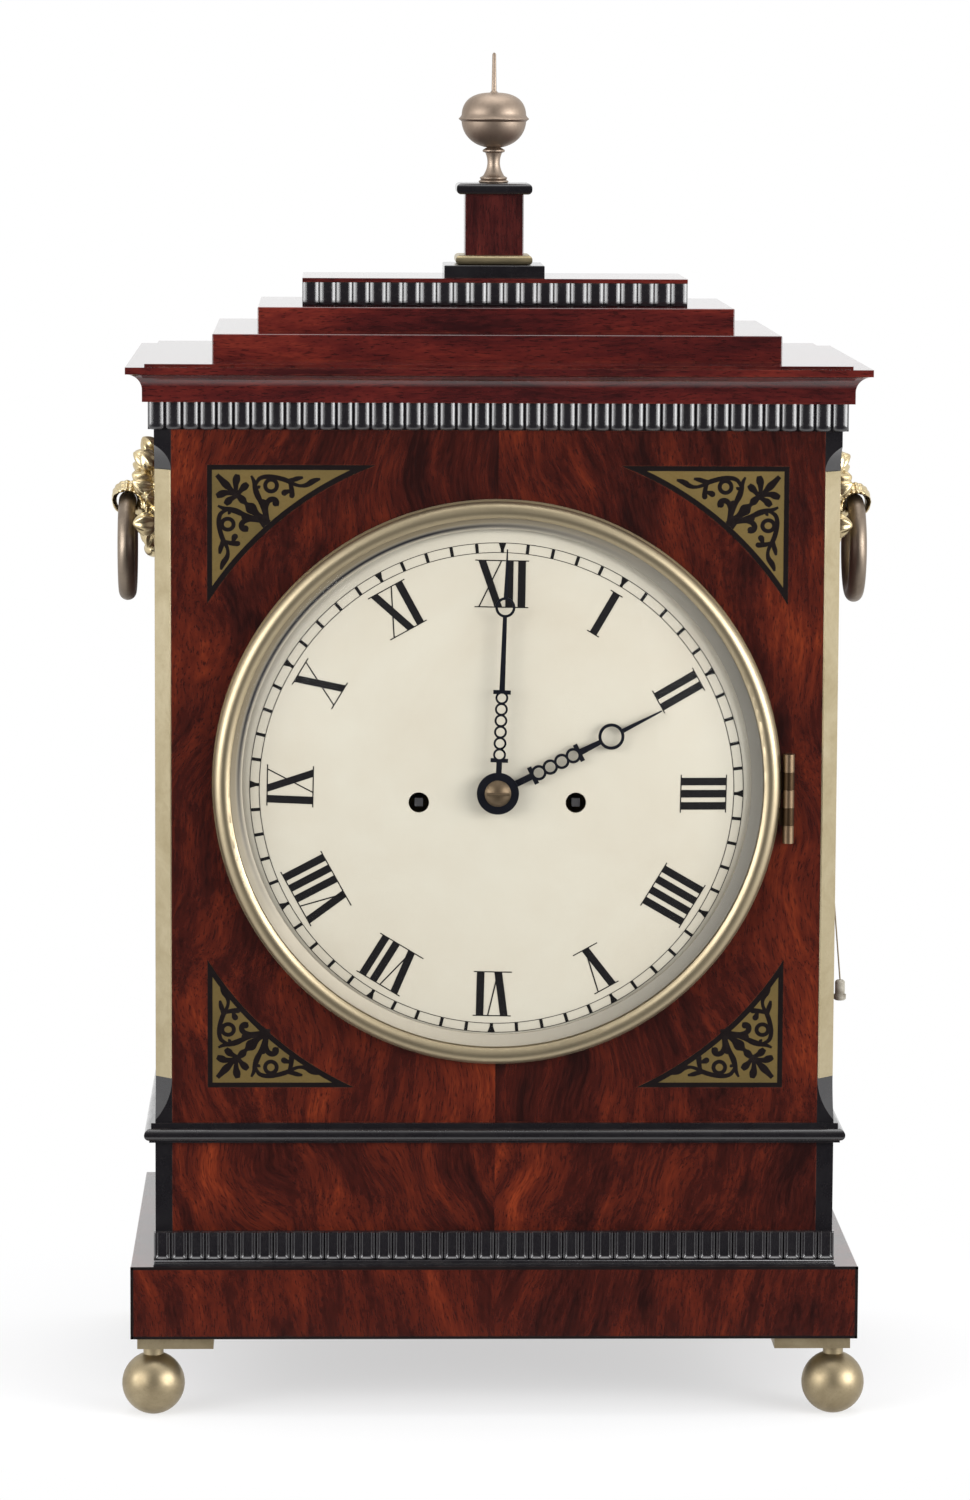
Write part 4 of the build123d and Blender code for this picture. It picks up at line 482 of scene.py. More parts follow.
@dataclass(frozen=True)
class Silvering(Finish):
    """Matt silvering with painted shade toward the right side, a brass edge and a painted shadow line at the
    upper left.
    """

    # Lit and shaded tones of one silvering: painted light at the left and painted shade at the right; dull
    # clouds also reach the shaded tone.
    lit_side: Colour = linear(184, 175, 156)
    shade_and_dull: Colour = linear(122, 118, 108)
    # Painted shadow of the bezel's lip: a dark line at the upper left of the slip.
    painted_shadow: Colour = linear(26, 26, 31)
    edge: Colour = linear(132, 120, 96)
    painted_shade_span: Point = (-50.0 * MM, 95.0 * MM)
    shadow_r: float = 100.9 * MM
    shadow_width: Point = (0.25 * MM, 1.25 * MM)
    shadow_side: Point = (25.0 * MM, 125.0 * MM)
    edge_r: Point = (101.3 * MM, 102.3 * MM)
    cloud_share: float = 0.15

    def fill(self, tree: Tree, shader: Node, spot: Socket) -> None:
        """Adds the painted shade across the slip, faint clouds, the edge and the painted shadow line.

        Args:
            tree: The material's tree.
            shader: Its Principled BSDF.
            spot: Object coordinates.
        """
        parts = tree.add("SeparateXYZ", {0: spot}).outputs
        x, z = parts[0], tree.math("SUBTRACT", parts[2], BEZEL_Z)
        marks = self.patina(tree, spot, scale=45.0).outputs
        # Painted shade: the tone goes from the lit colour at the left to the shaded grey at the right.
        tone = tree.mix(tree.span(x, *self.painted_shade_span), self.lit_side, self.shade_and_dull)
        tone = tree.mix(tree.times(marks["Cloud"], self.cloud_share), tone, self.shade_and_dull)
        away = tree.math("SQRT", tree.math("ADD", tree.times(x, x), tree.times(z, z)))
        upper_left = tree.span(tree.math("SUBTRACT", z, x), *self.shadow_side)
        tone = tree.mix(tree.times(tree.span(away, *self.edge_r), upper_left), tone, self.edge)
        # Painted shadow: a dark line near the outer radius, strongest at the upper left.
        off = tree.math("ABSOLUTE", tree.math("SUBTRACT", away, self.shadow_r))
        tone = tree.mix(tree.times(tree.span(off, *self.shadow_width, 1.0, 0.0), upper_left), tone, self.painted_shadow)
        tree.feed(shader, {
            "Base Color": tone, "Metallic": 0.2,
            "Roughness": tree.span(marks["Cloud"], 0.0, 1.0, start=0.45, end=0.55),
            "Normal": self.bump(tree, marks["Height"], depth=0.004 * MM, strength=0.5)})


@dataclass(frozen=True)
class Enamel(Finish):
    """Cream dial paint with a slow change of tone and faint specks."""

    base: Colour = linear(194, 189, 173)
    aged: Colour = linear(186, 178, 160)
    speck: Colour = linear(150, 135, 105)
    speck_share: float = 0.06

    def fill(self, tree: Tree, shader: Node, spot: Socket) -> None:
        """Adds ageing to the paint.

        Args:
            tree: The material's tree.
            shader: Its Principled BSDF.
            spot: Object coordinates.
        """
        marks = self.patina(tree, spot, scale=11.0).outputs
        tone = tree.mix(marks["Cloud"], self.base, self.aged)
        tone = tree.mix(tree.times(marks["Specks"], self.speck_share), tone, self.speck)
        tree.feed(shader, {
            "Base Color": tone, "Roughness": tree.span(marks["Cloud"], 0.0, 1.0, start=0.38, end=0.46),
            "Normal": self.bump(tree, marks["Height"], depth=0.01 * MM, strength=0.4)})


@dataclass(frozen=True)
class Pane(Finish):
    """Clear glass that shows only its reflections."""

    index: float = 1.45
    strength: float = 0.9
    tint: Colour = (0.02, 0.02, 0.02)

    def fill(self, tree: Tree, shader: Node, spot: Socket) -> None:
        """Makes the pane clear except where its outer face mirrors.

        Args:
            tree: The material's tree.
            shader: Its Principled BSDF.
            spot: Object coordinates.
        """
        smear = tree.noise(spot, scale=14.0, detail=4.0).outputs[0]
        mirror = tree.add("Fresnel", {"IOR": self.index}).outputs[0]
        path = tree.add("LightPath").outputs
        passing = tree.math("MAXIMUM", path["Is Shadow Ray"], path["Is Diffuse Ray"])
        passing = tree.math("MAXIMUM", passing, tree.add("NewGeometry").outputs["Backfacing"])
        cover = tree.math("MULTIPLY", tree.times(mirror, self.strength),
                          tree.math("SUBTRACT", 1.0, passing), clamp=True)
        tree.feed(shader, {"Base Color": self.tint, "Alpha": cover, "Specular IOR Level": 0.8,
                           "Roughness": tree.span(smear, 0.4, 0.7, start=0.02, end=0.07)})


@dataclass(frozen=True)
class Woven(Finish):
    """Silk or braided line."""

    base: Colour = linear(74, 92, 70)
    shade: Colour = linear(46, 58, 44)
    threads: float = 1400.0
    sheen: float = 0.3

    def fill(self, tree: Tree, shader: Node, spot: Socket) -> None:
        """Adds warp, weft and slubs.

        Args:
            tree: The material's tree.
            shader: Its Principled BSDF.
            spot: Object coordinates.
        """
        warp, weft = (tree.add("TexWave", {"Vector": spot, "Scale": self.threads, "Distortion": 0.6},
                               bands_direction=way).outputs["Fac"] for way in "YZ")
        cloth = tree.times(tree.math("ADD", warp, weft), 0.5)
        clumps = tree.noise(spot, scale=120.0, detail=5.0).outputs[0]
        slub = tree.span(clumps, low=0.4, high=0.7, end=0.35)
        tree.feed(shader, {
            "Base Color": tree.mix(slub, tree.mix(cloth, self.shade, self.base), self.shade),
            "Roughness": tree.span(cloth, 0.0, 1.0, start=0.75, end=0.55), "Sheen Weight": self.sheen,
            "Normal": self.bump(tree, cloth, depth=0.05 * MM, strength=0.6)})


@dataclass(frozen=True)
class Plain(Finish):
    """Plain stock with a soft change of tone, such as bone or oak."""

    base: Colour = linear(222, 208, 178)
    shade: Colour = linear(180, 160, 125)
    dull: float = 0.35
    spread: float = 0.12
    stretch: Place = (1.0, 1.0, 1.0)

    def fill(self, tree: Tree, shader: Node, spot: Socket) -> None:
        """Adds tone and fine streaks.

        Args:
            tree: The material's tree.
            shader: Its Principled BSDF.
            spot: Object coordinates.
        """
        laid = tree.add("Mapping", {"Vector": spot, "Scale": self.stretch}).outputs[0]
        streak = tree.noise(laid, scale=240.0, detail=5.0).outputs[0]
        tree.feed(shader, {
            "Base Color": tree.mix(tree.span(streak, low=0.35, high=0.7), self.base, self.shade),
            "Roughness": tree.span(streak, 0.3, 0.7, start=self.dull, end=self.dull + self.spread),
            "Normal": self.bump(tree, streak, depth=0.04 * MM, strength=0.4)})


FLAME_PANEL = Veneer("flame_panel", Slot.MAHOGANY, lean=6.0, scale=8.0, swirl=0.07, matched=True)
FLAME_SKIRT = Veneer("flame_skirt", Slot.MAHOGANY, lean=-14.0, scale=12.0, swirl=0.055, matched=True,
                     light=linear(84, 29, 15), flash=linear(120, 46, 21))
FLAME_PLINTH = Veneer("flame_plinth", Slot.MAHOGANY, lean=-8.0, scale=9.0, swirl=0.04, matched=True,
                      light=linear(78, 26, 14), flash=linear(106, 39, 19))
STRAIGHT_BOARD = Veneer("straight_board", Slot.MAHOGANY, grain=Grain.ACROSS, scale=5.0, swirl=0.03,
                        dark=linear(42, 13, 14), middle=linear(66, 19, 18), light=linear(86, 27, 22),
                        flash=linear(108, 38, 27))
SIDE_BOARD = Veneer("side_board", Slot.MAHOGANY, scale=6.0, swirl=0.08)
POST_BLOCK = Veneer("post_block", Slot.MAHOGANY, scale=5.0, swirl=0.02, dark=linear(28, 9, 10),
                    middle=linear(54, 18, 17), light=linear(74, 27, 23), flash=linear(100, 40, 30))
EBONISED = Black("ebonised", Slot.EBONISED, coat=0.8, gloss=0.4)
CARVED_BLACK = Black("carved_black", Slot.EBONISED, base=linear(24, 22, 25), scuffed=linear(88, 82, 78),
                     shine=0.16, coat=1.0, gloss=0.55)
BLACK_INLAY = Black("black_inlay", Slot.EBONISED, base=linear(20, 15, 15), scuffed=linear(52, 44, 40),
                    shine=0.4, coat=0.0, gloss=0.06)
DIAL_INK = Black("dial_ink", Slot.EBONISED, base=linear(23, 22, 23), scuffed=linear(56, 52, 48),
                 shine=0.4, coat=0.0, gloss=0.1)
SATIN_BRASS = Metal("satin_brass", Slot.BRASS, base=linear(182, 168, 134), stained=linear(132, 118, 88))
FOOT_BRASS = Metal("foot_brass", Slot.BRASS, base=linear(164, 150, 122), stained=linear(112, 99, 75),
                   dull=0.38, spread=0.14, cover=0.7)
HINGE_BRASS = Metal("hinge_brass", Slot.BRASS, base=linear(132, 112, 90), stained=linear(96, 78, 58),
                    dull=0.40, spread=0.12)
LEAF_BRASS = Metal("leaf_brass", Slot.BRASS, base=linear(76, 60, 44), stained=linear(54, 42, 30),
                   dull=0.40, spread=0.12)
BEZEL_BRASS = Metal("bezel_brass", Slot.BRASS, base=linear(178, 164, 136), stained=linear(154, 140, 112),
                    dull=0.40, spread=0.05, cover=0.3, relief=0.004 * MM)
SLIP_SILVER = Silvering("slip_silver", Slot.BRASS)
STRIP_BRASS = Metal("strip_brass", Slot.BRASS, base=linear(176, 164, 136), stained=linear(140, 128, 99),
                    dull=0.36, spread=0.14, cover=0.8)
SHEET_BRASS = Metal("sheet_brass", Slot.BRASS, base=linear(166, 144, 92), stained=linear(122, 101, 59),
                    dull=0.40, spread=0.15, cover=0.7)
GILT_BRASS = Metal("gilt_brass", Slot.BRASS, base=linear(214, 198, 158), stained=linear(150, 125, 85),
                   dull=0.26, spread=0.18, cloud=110.0, cover=0.55)
RING_BRASS = Metal("ring_brass", Slot.BRASS, base=linear(142, 129, 115), stained=linear(106, 94, 82),
                   dull=0.40, cover=0.7)
CLOCK_BRASS = Metal("clock_brass", Slot.BRASS, base=linear(206, 180, 112), stained=linear(182, 154, 90),
                    spread=0.10, cover=0.5)
COLLET_BRASS = Metal("collet_brass", Slot.BRASS, base=linear(122, 106, 86), stained=linear(90, 76, 58),
                     dull=0.42, spread=0.10)
DARK_BRONZE = Metal("dark_bronze", Slot.BRONZE, base=linear(158, 142, 127), stained=linear(118, 103, 90),
                    dull=0.46, spread=0.10)
BLUED_STEEL = Metal("blued_steel", Slot.STEEL, base=linear(40, 42, 52), stained=linear(26, 26, 30),
                    dull=0.25, spread=0.2, metallic=0.8, rubbed=0.15)
GREY_STEEL = Metal("grey_steel", Slot.STEEL, base=linear(150, 150, 152), stained=linear(96, 92, 88),
                   spread=0.2)
CREAM_PAINT = Enamel("cream_paint", Slot.DIAL_PAINT)
CLEAR_PANE = Pane("clear_pane", Slot.CLEAR_GLASS)
GREEN_SILK = Woven("green_silk", Slot.CORD)
BRAID = Woven("braid", Slot.CORD, base=linear(150, 132, 100), shade=linear(96, 82, 60), threads=2600.0,
              sheen=0.1)
BONE = Plain("bone", Slot.BONE, base=linear(190, 186, 172), shade=linear(120, 112, 98))
OAK = Plain("oak", Slot.OAK, base=linear(150, 116, 74), shade=linear(104, 76, 46), dull=0.55,
            stretch=(0.05, 1.0, 1.0))

NODE_FINISHES: dict[Finish, tuple[str, ...]] = {
    FLAME_PANEL: ("front_panel",),
    FLAME_SKIRT: ("skirt_board",),
    FLAME_PLINTH: ("plinth",),
    STRAIGHT_BOARD: ("cornice", "lower_step", "middle_step", "upper_step"),
    SIDE_BOARD: ("side_panels", "back_frame", "back_door"),
    POST_BLOCK: ("finial_pedestal",),
    EBONISED: ("waist_moulding", "corner_posts", "finial_slabs"),
    SATIN_BRASS: ("finial_collar", "back_door_butts", "back_door_leaves", "back_door_knob", "cord_bush"),
    COLLET_BRASS: ("hand_collet",),
    FOOT_BRASS: ("foot_plates", "ball_feet"),
    HINGE_BRASS: ("bezel_hinge_plate",),
    LEAF_BRASS: ("bezel_hinge_leaf",),
    BEZEL_BRASS: ("bezel",),
    STRIP_BRASS: ("corner_strips",),
    SHEET_BRASS: ("spandrels", "side_frets"),
    RING_BRASS: ("left_ring", "right_ring"),
    CLOCK_BRASS: ("front_plate", "back_plate", "train_wheels", "back_cock", "cannon_wheel", "hour_wheel",
                  "minute_wheel", "going_barrel", "strike_barrel", "pendulum_bob"),
    DARK_BRONZE: ("finial", "bell"),
    BLUED_STEEL: ("minute_hand", "hour_hand"),
    GREY_STEEL: ("bell_stand", "pendulum_rod", "pallets", "hammer", "going_fusee", "strike_fusee"),
    CREAM_PAINT: ("dial",),
    CLEAR_PANE: ("bezel_glass", "back_door_glass"),
    BONE: ("repeat_bob",),
    OAK: ("seat_board",),
}


class Bench:
    """Operator steps that every piece made here goes through."""

    @staticmethod
    def clear() -> None:
        """Goes to object mode and deselects everything."""
        current = bpy.context.view_layer.objects.active
        if current is not None and current.mode != "OBJECT":
            bpy.ops.object.mode_set(mode="OBJECT")
        bpy.ops.object.select_all(action="DESELECT")

    @staticmethod
    def take(piece: Thing) -> None:
        """Makes a piece the only one selected.

        Args:
            piece: The piece.
        """
        Bench.clear()
        piece.select_set(True)
        bpy.context.view_layer.objects.active = piece

    @staticmethod
    def newest(name: str) -> Thing:
        """Names the piece that was just added, and its mesh.

        Args:
            name: The name.

        Returns:
            The piece.
        """
        piece = bpy.context.view_layer.objects.active
        piece.name = name
        piece.data.name = name
        return piece

    @staticmethod
    def settle(piece: Thing) -> Thing:
        """Puts a piece's place into its mesh.

        Args:
            piece: The piece.

        Returns:
            The same piece, at the origin.
        """
        Bench.take(piece)
        bpy.ops.object.transform_apply(location=True, rotation=True, scale=True)
        return piece

    @staticmethod
    def block(name: str, low: Place, high: Place) -> Thing:
        """Adds a block between two corners.

        Args:
            name: Its name.
            low: Lowest corner.
            high: Highest corner.

        Returns:
            The block.
        """
        Bench.clear()
        middle = [(a + b) / 2 for a, b in zip(low, high)]
        size = [b - a for a, b in zip(low, high)]
        bpy.ops.mesh.primitive_cube_add(size=1.0, location=middle, scale=size)
        return Bench.settle(Bench.newest(name))

    @staticmethod
    @contextmanager
    def editing(piece: Thing) -> Iterator[None]:
        """Goes to edit mode with all of a piece selected, and back to object mode.

        Args:
            piece: The piece.

        Yields:
            Nothing, while edit mode is on.
        """
        Bench.take(piece)
        bpy.ops.object.mode_set(mode="EDIT")
        bpy.ops.mesh.select_all(action="SELECT")
        yield
        bpy.ops.object.mode_set(mode="OBJECT")

    @staticmethod
    @contextmanager
    def editing_edges(piece: Thing, test: Callable[[Vector, Vector], bool]) -> Iterator[None]:
        """Goes to edit mode with some edges selected, and back to object mode.

        Args:
            piece: The piece.
            test: Says whether an edge between two places is selected.

        Yields:
            Nothing, while edit mode is on.
        """
        Bench.take(piece)
        bpy.context.tool_settings.mesh_select_mode = (False, True, False)
        mesh = piece.data
        for part in (mesh.vertices, mesh.edges, mesh.polygons):
            for item in part:
                item.select = False
        for edge in mesh.edges:
            edge.select = test(*(mesh.vertices[index].co for index in edge.vertices))
        bpy.ops.object.mode_set(mode="EDIT")
        yield
        bpy.ops.object.mode_set(mode="OBJECT")

    @staticmethod
    def bevel(piece: Thing, width: float, segments: int, test: Callable[[Vector, Vector], bool]) -> None:
        """Rounds the edges that a test picks.

        Args:
            piece: The piece.
            width: How far the rounding reaches.
            segments: How many faces it has.
            test: Says whether an edge between two places is rounded.
        """
        with Bench.editing_edges(piece, test):
            bpy.ops.mesh.bevel(offset=width, segments=segments, profile=0.5, affect="EDGES")

    @staticmethod
    def outward(piece: Thing) -> None:
        """Merges doubles and turns the faces outward.

        Args:
            piece: The piece.
        """
        with Bench.editing(piece):
            bpy.ops.mesh.remove_doubles(threshold=MM * MM)
            bpy.ops.mesh.normals_make_consistent(inside=False)

    @staticmethod
    def frontward(piece: Thing) -> None:
        """Turns the faces of a flat piece to the front.

        Args:
            piece: The piece.
        """
        with Bench.editing(piece):
            bpy.ops.mesh.normals_make_consistent(inside=False)
        if sum(face.normal.y * face.area for face in piece.data.polygons) > 0:
            piece.data.flip_normals()

    @staticmethod
    def modify(piece: Thing, kind: str, **settings: object) -> None:
        """Adds a modifier and applies it.

        Args:
            piece: The piece.
            kind: The modifier's type.
            settings: Its settings.
        """
        Bench.take(piece)
        modifier = piece.modifiers.new(kind.lower(), kind)
        for key, value in settings.items():
            setattr(modifier, key, value)
        bpy.ops.object.modifier_apply(modifier=modifier.name)

    @staticmethod
    def join(name: str, pieces: Sequence[Thing]) -> Thing:
        """Joins pieces into one.

        Args:
            name: The name of the whole.
            pieces: What is joined.

        Returns:
            The whole.
        """
        Bench.clear()
        for piece in pieces:
            piece.select_set(True)
        bpy.context.view_layer.objects.active = pieces[0]
        bpy.ops.object.join()
        return Bench.newest(name)

    @staticmethod
    def copies(piece: Thing, moves: Sequence[Matrix]) -> list[Thing]:
        """Copies a piece, each copy with its own mesh.

        Args:
            piece: The piece.
            moves: What is done to each copy's mesh.

        Returns:
            The copies.
        """
        made = []
        for move in moves:
            twin = piece.copy()
            twin.data = piece.data.copy()
            bpy.context.scene.collection.objects.link(twin)
            twin.data.transform(move)
            if move.determinant() < 0:
                twin.data.flip_normals()
            made.append(twin)
        return made

    @staticmethod
    def smooth(piece: Thing, degrees: float) -> None:
        """Shades a piece smooth except at sharper edges."""
        Bench.take(piece)
        bpy.ops.object.shade_smooth_by_angle(angle=math.radians(degrees))

    @staticmethod
    def wire(name: str, points: Sequence[Place], closed: bool = True) -> Thing:
        """Lays the edge of a circle along given points.

        Args:
            name: The wire's name.
            points: The points.
            closed: Whether the last point joins the first.

        Returns:
            The wire.
        """
        Bench.clear()
        bpy.ops.mesh.primitive_circle_add(vertices=len(points), radius=MM)
        piece = Bench.newest(name)
        for vertex, point in zip(piece.data.vertices, points):
            vertex.co = point
        if not closed:
            ends = {Vector(points[index]).to_tuple(7) for index in (0, -1)}
            with Bench.editing_edges(piece, lambda a, b: {a.to_tuple(7), b.to_tuple(7)} == ends):
                bpy.ops.mesh.delete(type="EDGE_FACE")
        return piece

    @staticmethod
    def band(name: str, outer: Sequence[Place], inner: Sequence[Place]) -> Thing:
        """Makes the band between two closed lines.

        Args:
            name: The band's name.
            outer: Points of the outer line.
            inner: As many points of the inner line.

        Returns:
            The band.
        """
        piece = Bench.wire(name, outer)
        with Bench.editing(piece):
            bpy.ops.mesh.extrude_edges_move()
        for vertex, point in zip(piece.data.vertices[len(outer):], inner):
            vertex.co = point
        return piece

    @staticmethod
    def curve(name: str, points: Sequence[Place], closed: bool, resolution: int) -> Thing:
        """Draws a smooth curve.

        Args:
            name: Its name.
            points: The points that pull it.
            closed: Whether it closes on itself.
            resolution: How many steps it takes from point to point.

        Returns:
            The curve.
        """
        Bench.clear()
        bpy.ops.curve.primitive_nurbs_path_add(radius=MM)
        piece = Bench.newest(name)
        piece.data.splines.clear()
        spline = piece.data.splines.new("NURBS")
        spline.points.add(len(points) - 1)
        for point, place in zip(spline.points, points):
            point.co = (*place, 1.0)
        spline.order_u = 3
        spline.use_cyclic_u = closed
        spline.use_endpoint_u = not closed
        spline.resolution_u = resolution
        piece.data.dimensions = "3D"
        piece.data.use_fill_caps = not closed
        return piece

    @staticmethod
    def as_mesh(piece: Thing) -> Thing:
        """Turns a curve into a mesh.

        Args:
            piece: The curve.

        Returns:
            The mesh, under the same name.
        """
        name = piece.name
        Bench.take(piece)
        bpy.ops.object.convert(target="MESH")
        return Bench.newest(name)

    @staticmethod
    def dress(piece: Thing, finish: Finish) -> None:
        """Gives a piece its finish.

        Args:
            piece: The piece.
            finish: Its finish.
        """
        piece.data.materials.clear()
        piece.data.materials.append(finish.material())
        LOG.info("%s: %d faces, %s", piece.name, len(piece.data.polygons), finish.name)

    @staticmethod
    def finish(piece: Thing, finish: Finish, body: Body) -> None:
        """Gives a piece its finish and the body it moves with."""
        Bench.dress(piece, finish)
        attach(piece, body.value)


@dataclass
class Dial:
    """The printed dial: minute track and roman numerals on a domed plate."""

    centre_z: float = 248.5 * MM
    apex_y: float = -89.25 * MM
    sphere_r: float = 510.4 * MM
    lift: float = 0.10 * MM
    ink: float = 0.06 * MM
    outer_r: float = 96.5 * MM
    inner_r: float = 92.8 * MM
    line: float = 0.24 * MM
    bar: float = 1.25 * MM
    mark_half: float = 1.5 * MM
    mark_tip: float = 0.1 * MM
    mark_drop: float = 0.2 * MM
    numeral_top: float = 89.7 * MM
    numeral_foot: float = 71.8 * MM
    thick: float = 3.0 * MM
    thin: float = 0.52 * MM
    hair: float = 0.42 * MM
    gap: float = 1.8 * MM
    close_gap: float = 1.15 * MM
    serif_over: float = 1.2 * MM
    v_width: float = 8.4 * MM
    x_width: float = 9.6 * MM
    tilt: float = 1.0

    def set_down(self, piece: Thing) -> None:
        """Turns print as the real dial is turned, and lays it on the domed plate as a layer of ink.

        Args:
            piece: The print, flat in X and Z about the dial's centre.
        """
        piece.data.transform(Matrix.Rotation(math.radians(self.tilt), 4, "Y"))
        Bench.frontward(piece)
        for vertex in piece.data.vertices:
            reach = vertex.co.x ** 2 + vertex.co.z ** 2
            fall = self.sphere_r - math.sqrt(self.sphere_r ** 2 - reach)
            vertex.co.y = self.apex_y - self.lift + fall
            vertex.co.z += self.centre_z
        Bench.modify(piece, "SOLIDIFY", thickness=self.ink, offset=-1.0)
        Bench.finish(piece, DIAL_INK, Body.CASE)

    def round_line(self, radius: float) -> Thing:
        """Makes a thin flat line round the dial."""
        return Bench.band("line", circle(radius + self.line / 2), circle(radius - self.line / 2))

    @staticmethod
    def bar_between(foot: Point, top: Point, low: float, high: float, cuts: int) -> Thing:
        """Makes a flat bar from a plane.

        Args:
            foot: Its left and right side at the foot.
            top: Its left and right side at the top.
            low: Height of its foot.
            high: Height of its top.
            cuts: How many cuts divide each side.

        Returns:
            The bar.
        """
        Bench.clear()
        bpy.ops.mesh.primitive_plane_add(size=MM)
        piece = Bench.newest("bar")
        corners = ((foot[0], 0, low), (foot[1], 0, low), (top[1], 0, high), (top[0], 0, high))
        for index, corner in zip(piece.data.polygons[0].vertices, corners):
            piece.data.vertices[index].co = corner
        with Bench.editing(piece):
            bpy.ops.mesh.subdivide(number_cuts=cuts)
        return piece

    def track(self) -> None:
        """Prints the minute track."""
        half, wide, tip = self.bar / 2, self.mark_half, self.mark_tip
        bar = self.bar_between((-half, half), (-half, half), self.inner_r, self.outer_r, cuts=2)
        mark = self.bar_between((-tip, tip), (-wide, wide), self.inner_r - self.mark_drop, self.outer_r,
                                cuts=2)
        for piece, count in ((bar, MINUTES), (mark, HOURS)):
            with Bench.editing(piece):
                bpy.ops.mesh.spin(steps=count, dupli=True, angle=math.tau, center=(0, 0, 0), axis=(0, 1, 0))
                bpy.ops.mesh.select_all(action="SELECT")
                bpy.ops.mesh.remove_doubles(threshold=MM * MM)
        lines = [self.round_line(radius) for radius in (self.outer_r, self.inner_r)]
        self.set_down(Bench.join("minute_track", [*lines, bar, mark]))

    def stroke(self, foot: float, top: float, width: float) -> Thing:
        """Makes one stroke of a numeral.

        Args:
            foot: Where its middle stands at the foot.
            top: Where its middle ends at the top.
            width: How wide it is.

        Returns:
            The stroke.
        """
        half = width / 2
        return self.bar_between((foot - half, foot + half), (top - half, top + half), self.numeral_foot,
                                self.numeral_top, cuts=4)

    def numeral(self, letters: str, hour: int) -> Thing:
        """Prints a numeral, upright at the top of the dial and then turned to its hour.

        Args:
            letters: Its letters.
            hour: Its hour.

        Returns:
            The numeral, flat.
        """
        widths = {"I": self.thick, "V": self.v_width, "X": self.x_width}
        gaps = []
        for before, after in zip(letters, letters[1:]):
            gaps.append(self.gap if before == after == "I" else self.close_gap)
        total = sum(widths[letter] for letter in letters) + sum(gaps)
        place = -total / 2
        strokes = []
        for letter, gap in zip(letters, [*gaps, 0.0]):
            width = widths[letter]
            left, right, middle = place + self.thick / 2, place + width - self.thick / 2, place + width / 2
            thin_top = place + width - self.thin
            if letter == "I":
                strokes.append(self.stroke(middle, middle, self.thick))
            elif letter == "V":
                strokes += [self.stroke(middle, left, self.thick), self.stroke(middle, thin_top, self.thin)]
            else:
                strokes += [self.stroke(right, left, self.thick),
                            self.stroke(place + self.thin, thin_top, self.thin)]
            place += width + gap
        over, hair = total / 2 + self.serif_over, self.hair / 2
        for level in (self.numeral_foot, self.numeral_top):
            strokes.append(self.bar_between((-over, over), (-over, over), level - hair, level + hair,
                                            cuts=4))
        whole = Bench.join("numeral", strokes)
        whole.data.transform(Matrix.Rotation(math.tau * hour / HOURS, 4, "Y"))
        return whole

    def build(self) -> None:
        """Prints the track and the twelve hours."""
        self.track()
        hours = ("XII", "I", "II", "III", "IIII", "V", "VI", "VII", "VIII", "IX", "X", "XI")
        numerals = [self.numeral(letters, hour) for hour, letters in enumerate(hours)]
        self.set_down(Bench.join("hour_numerals", numerals))


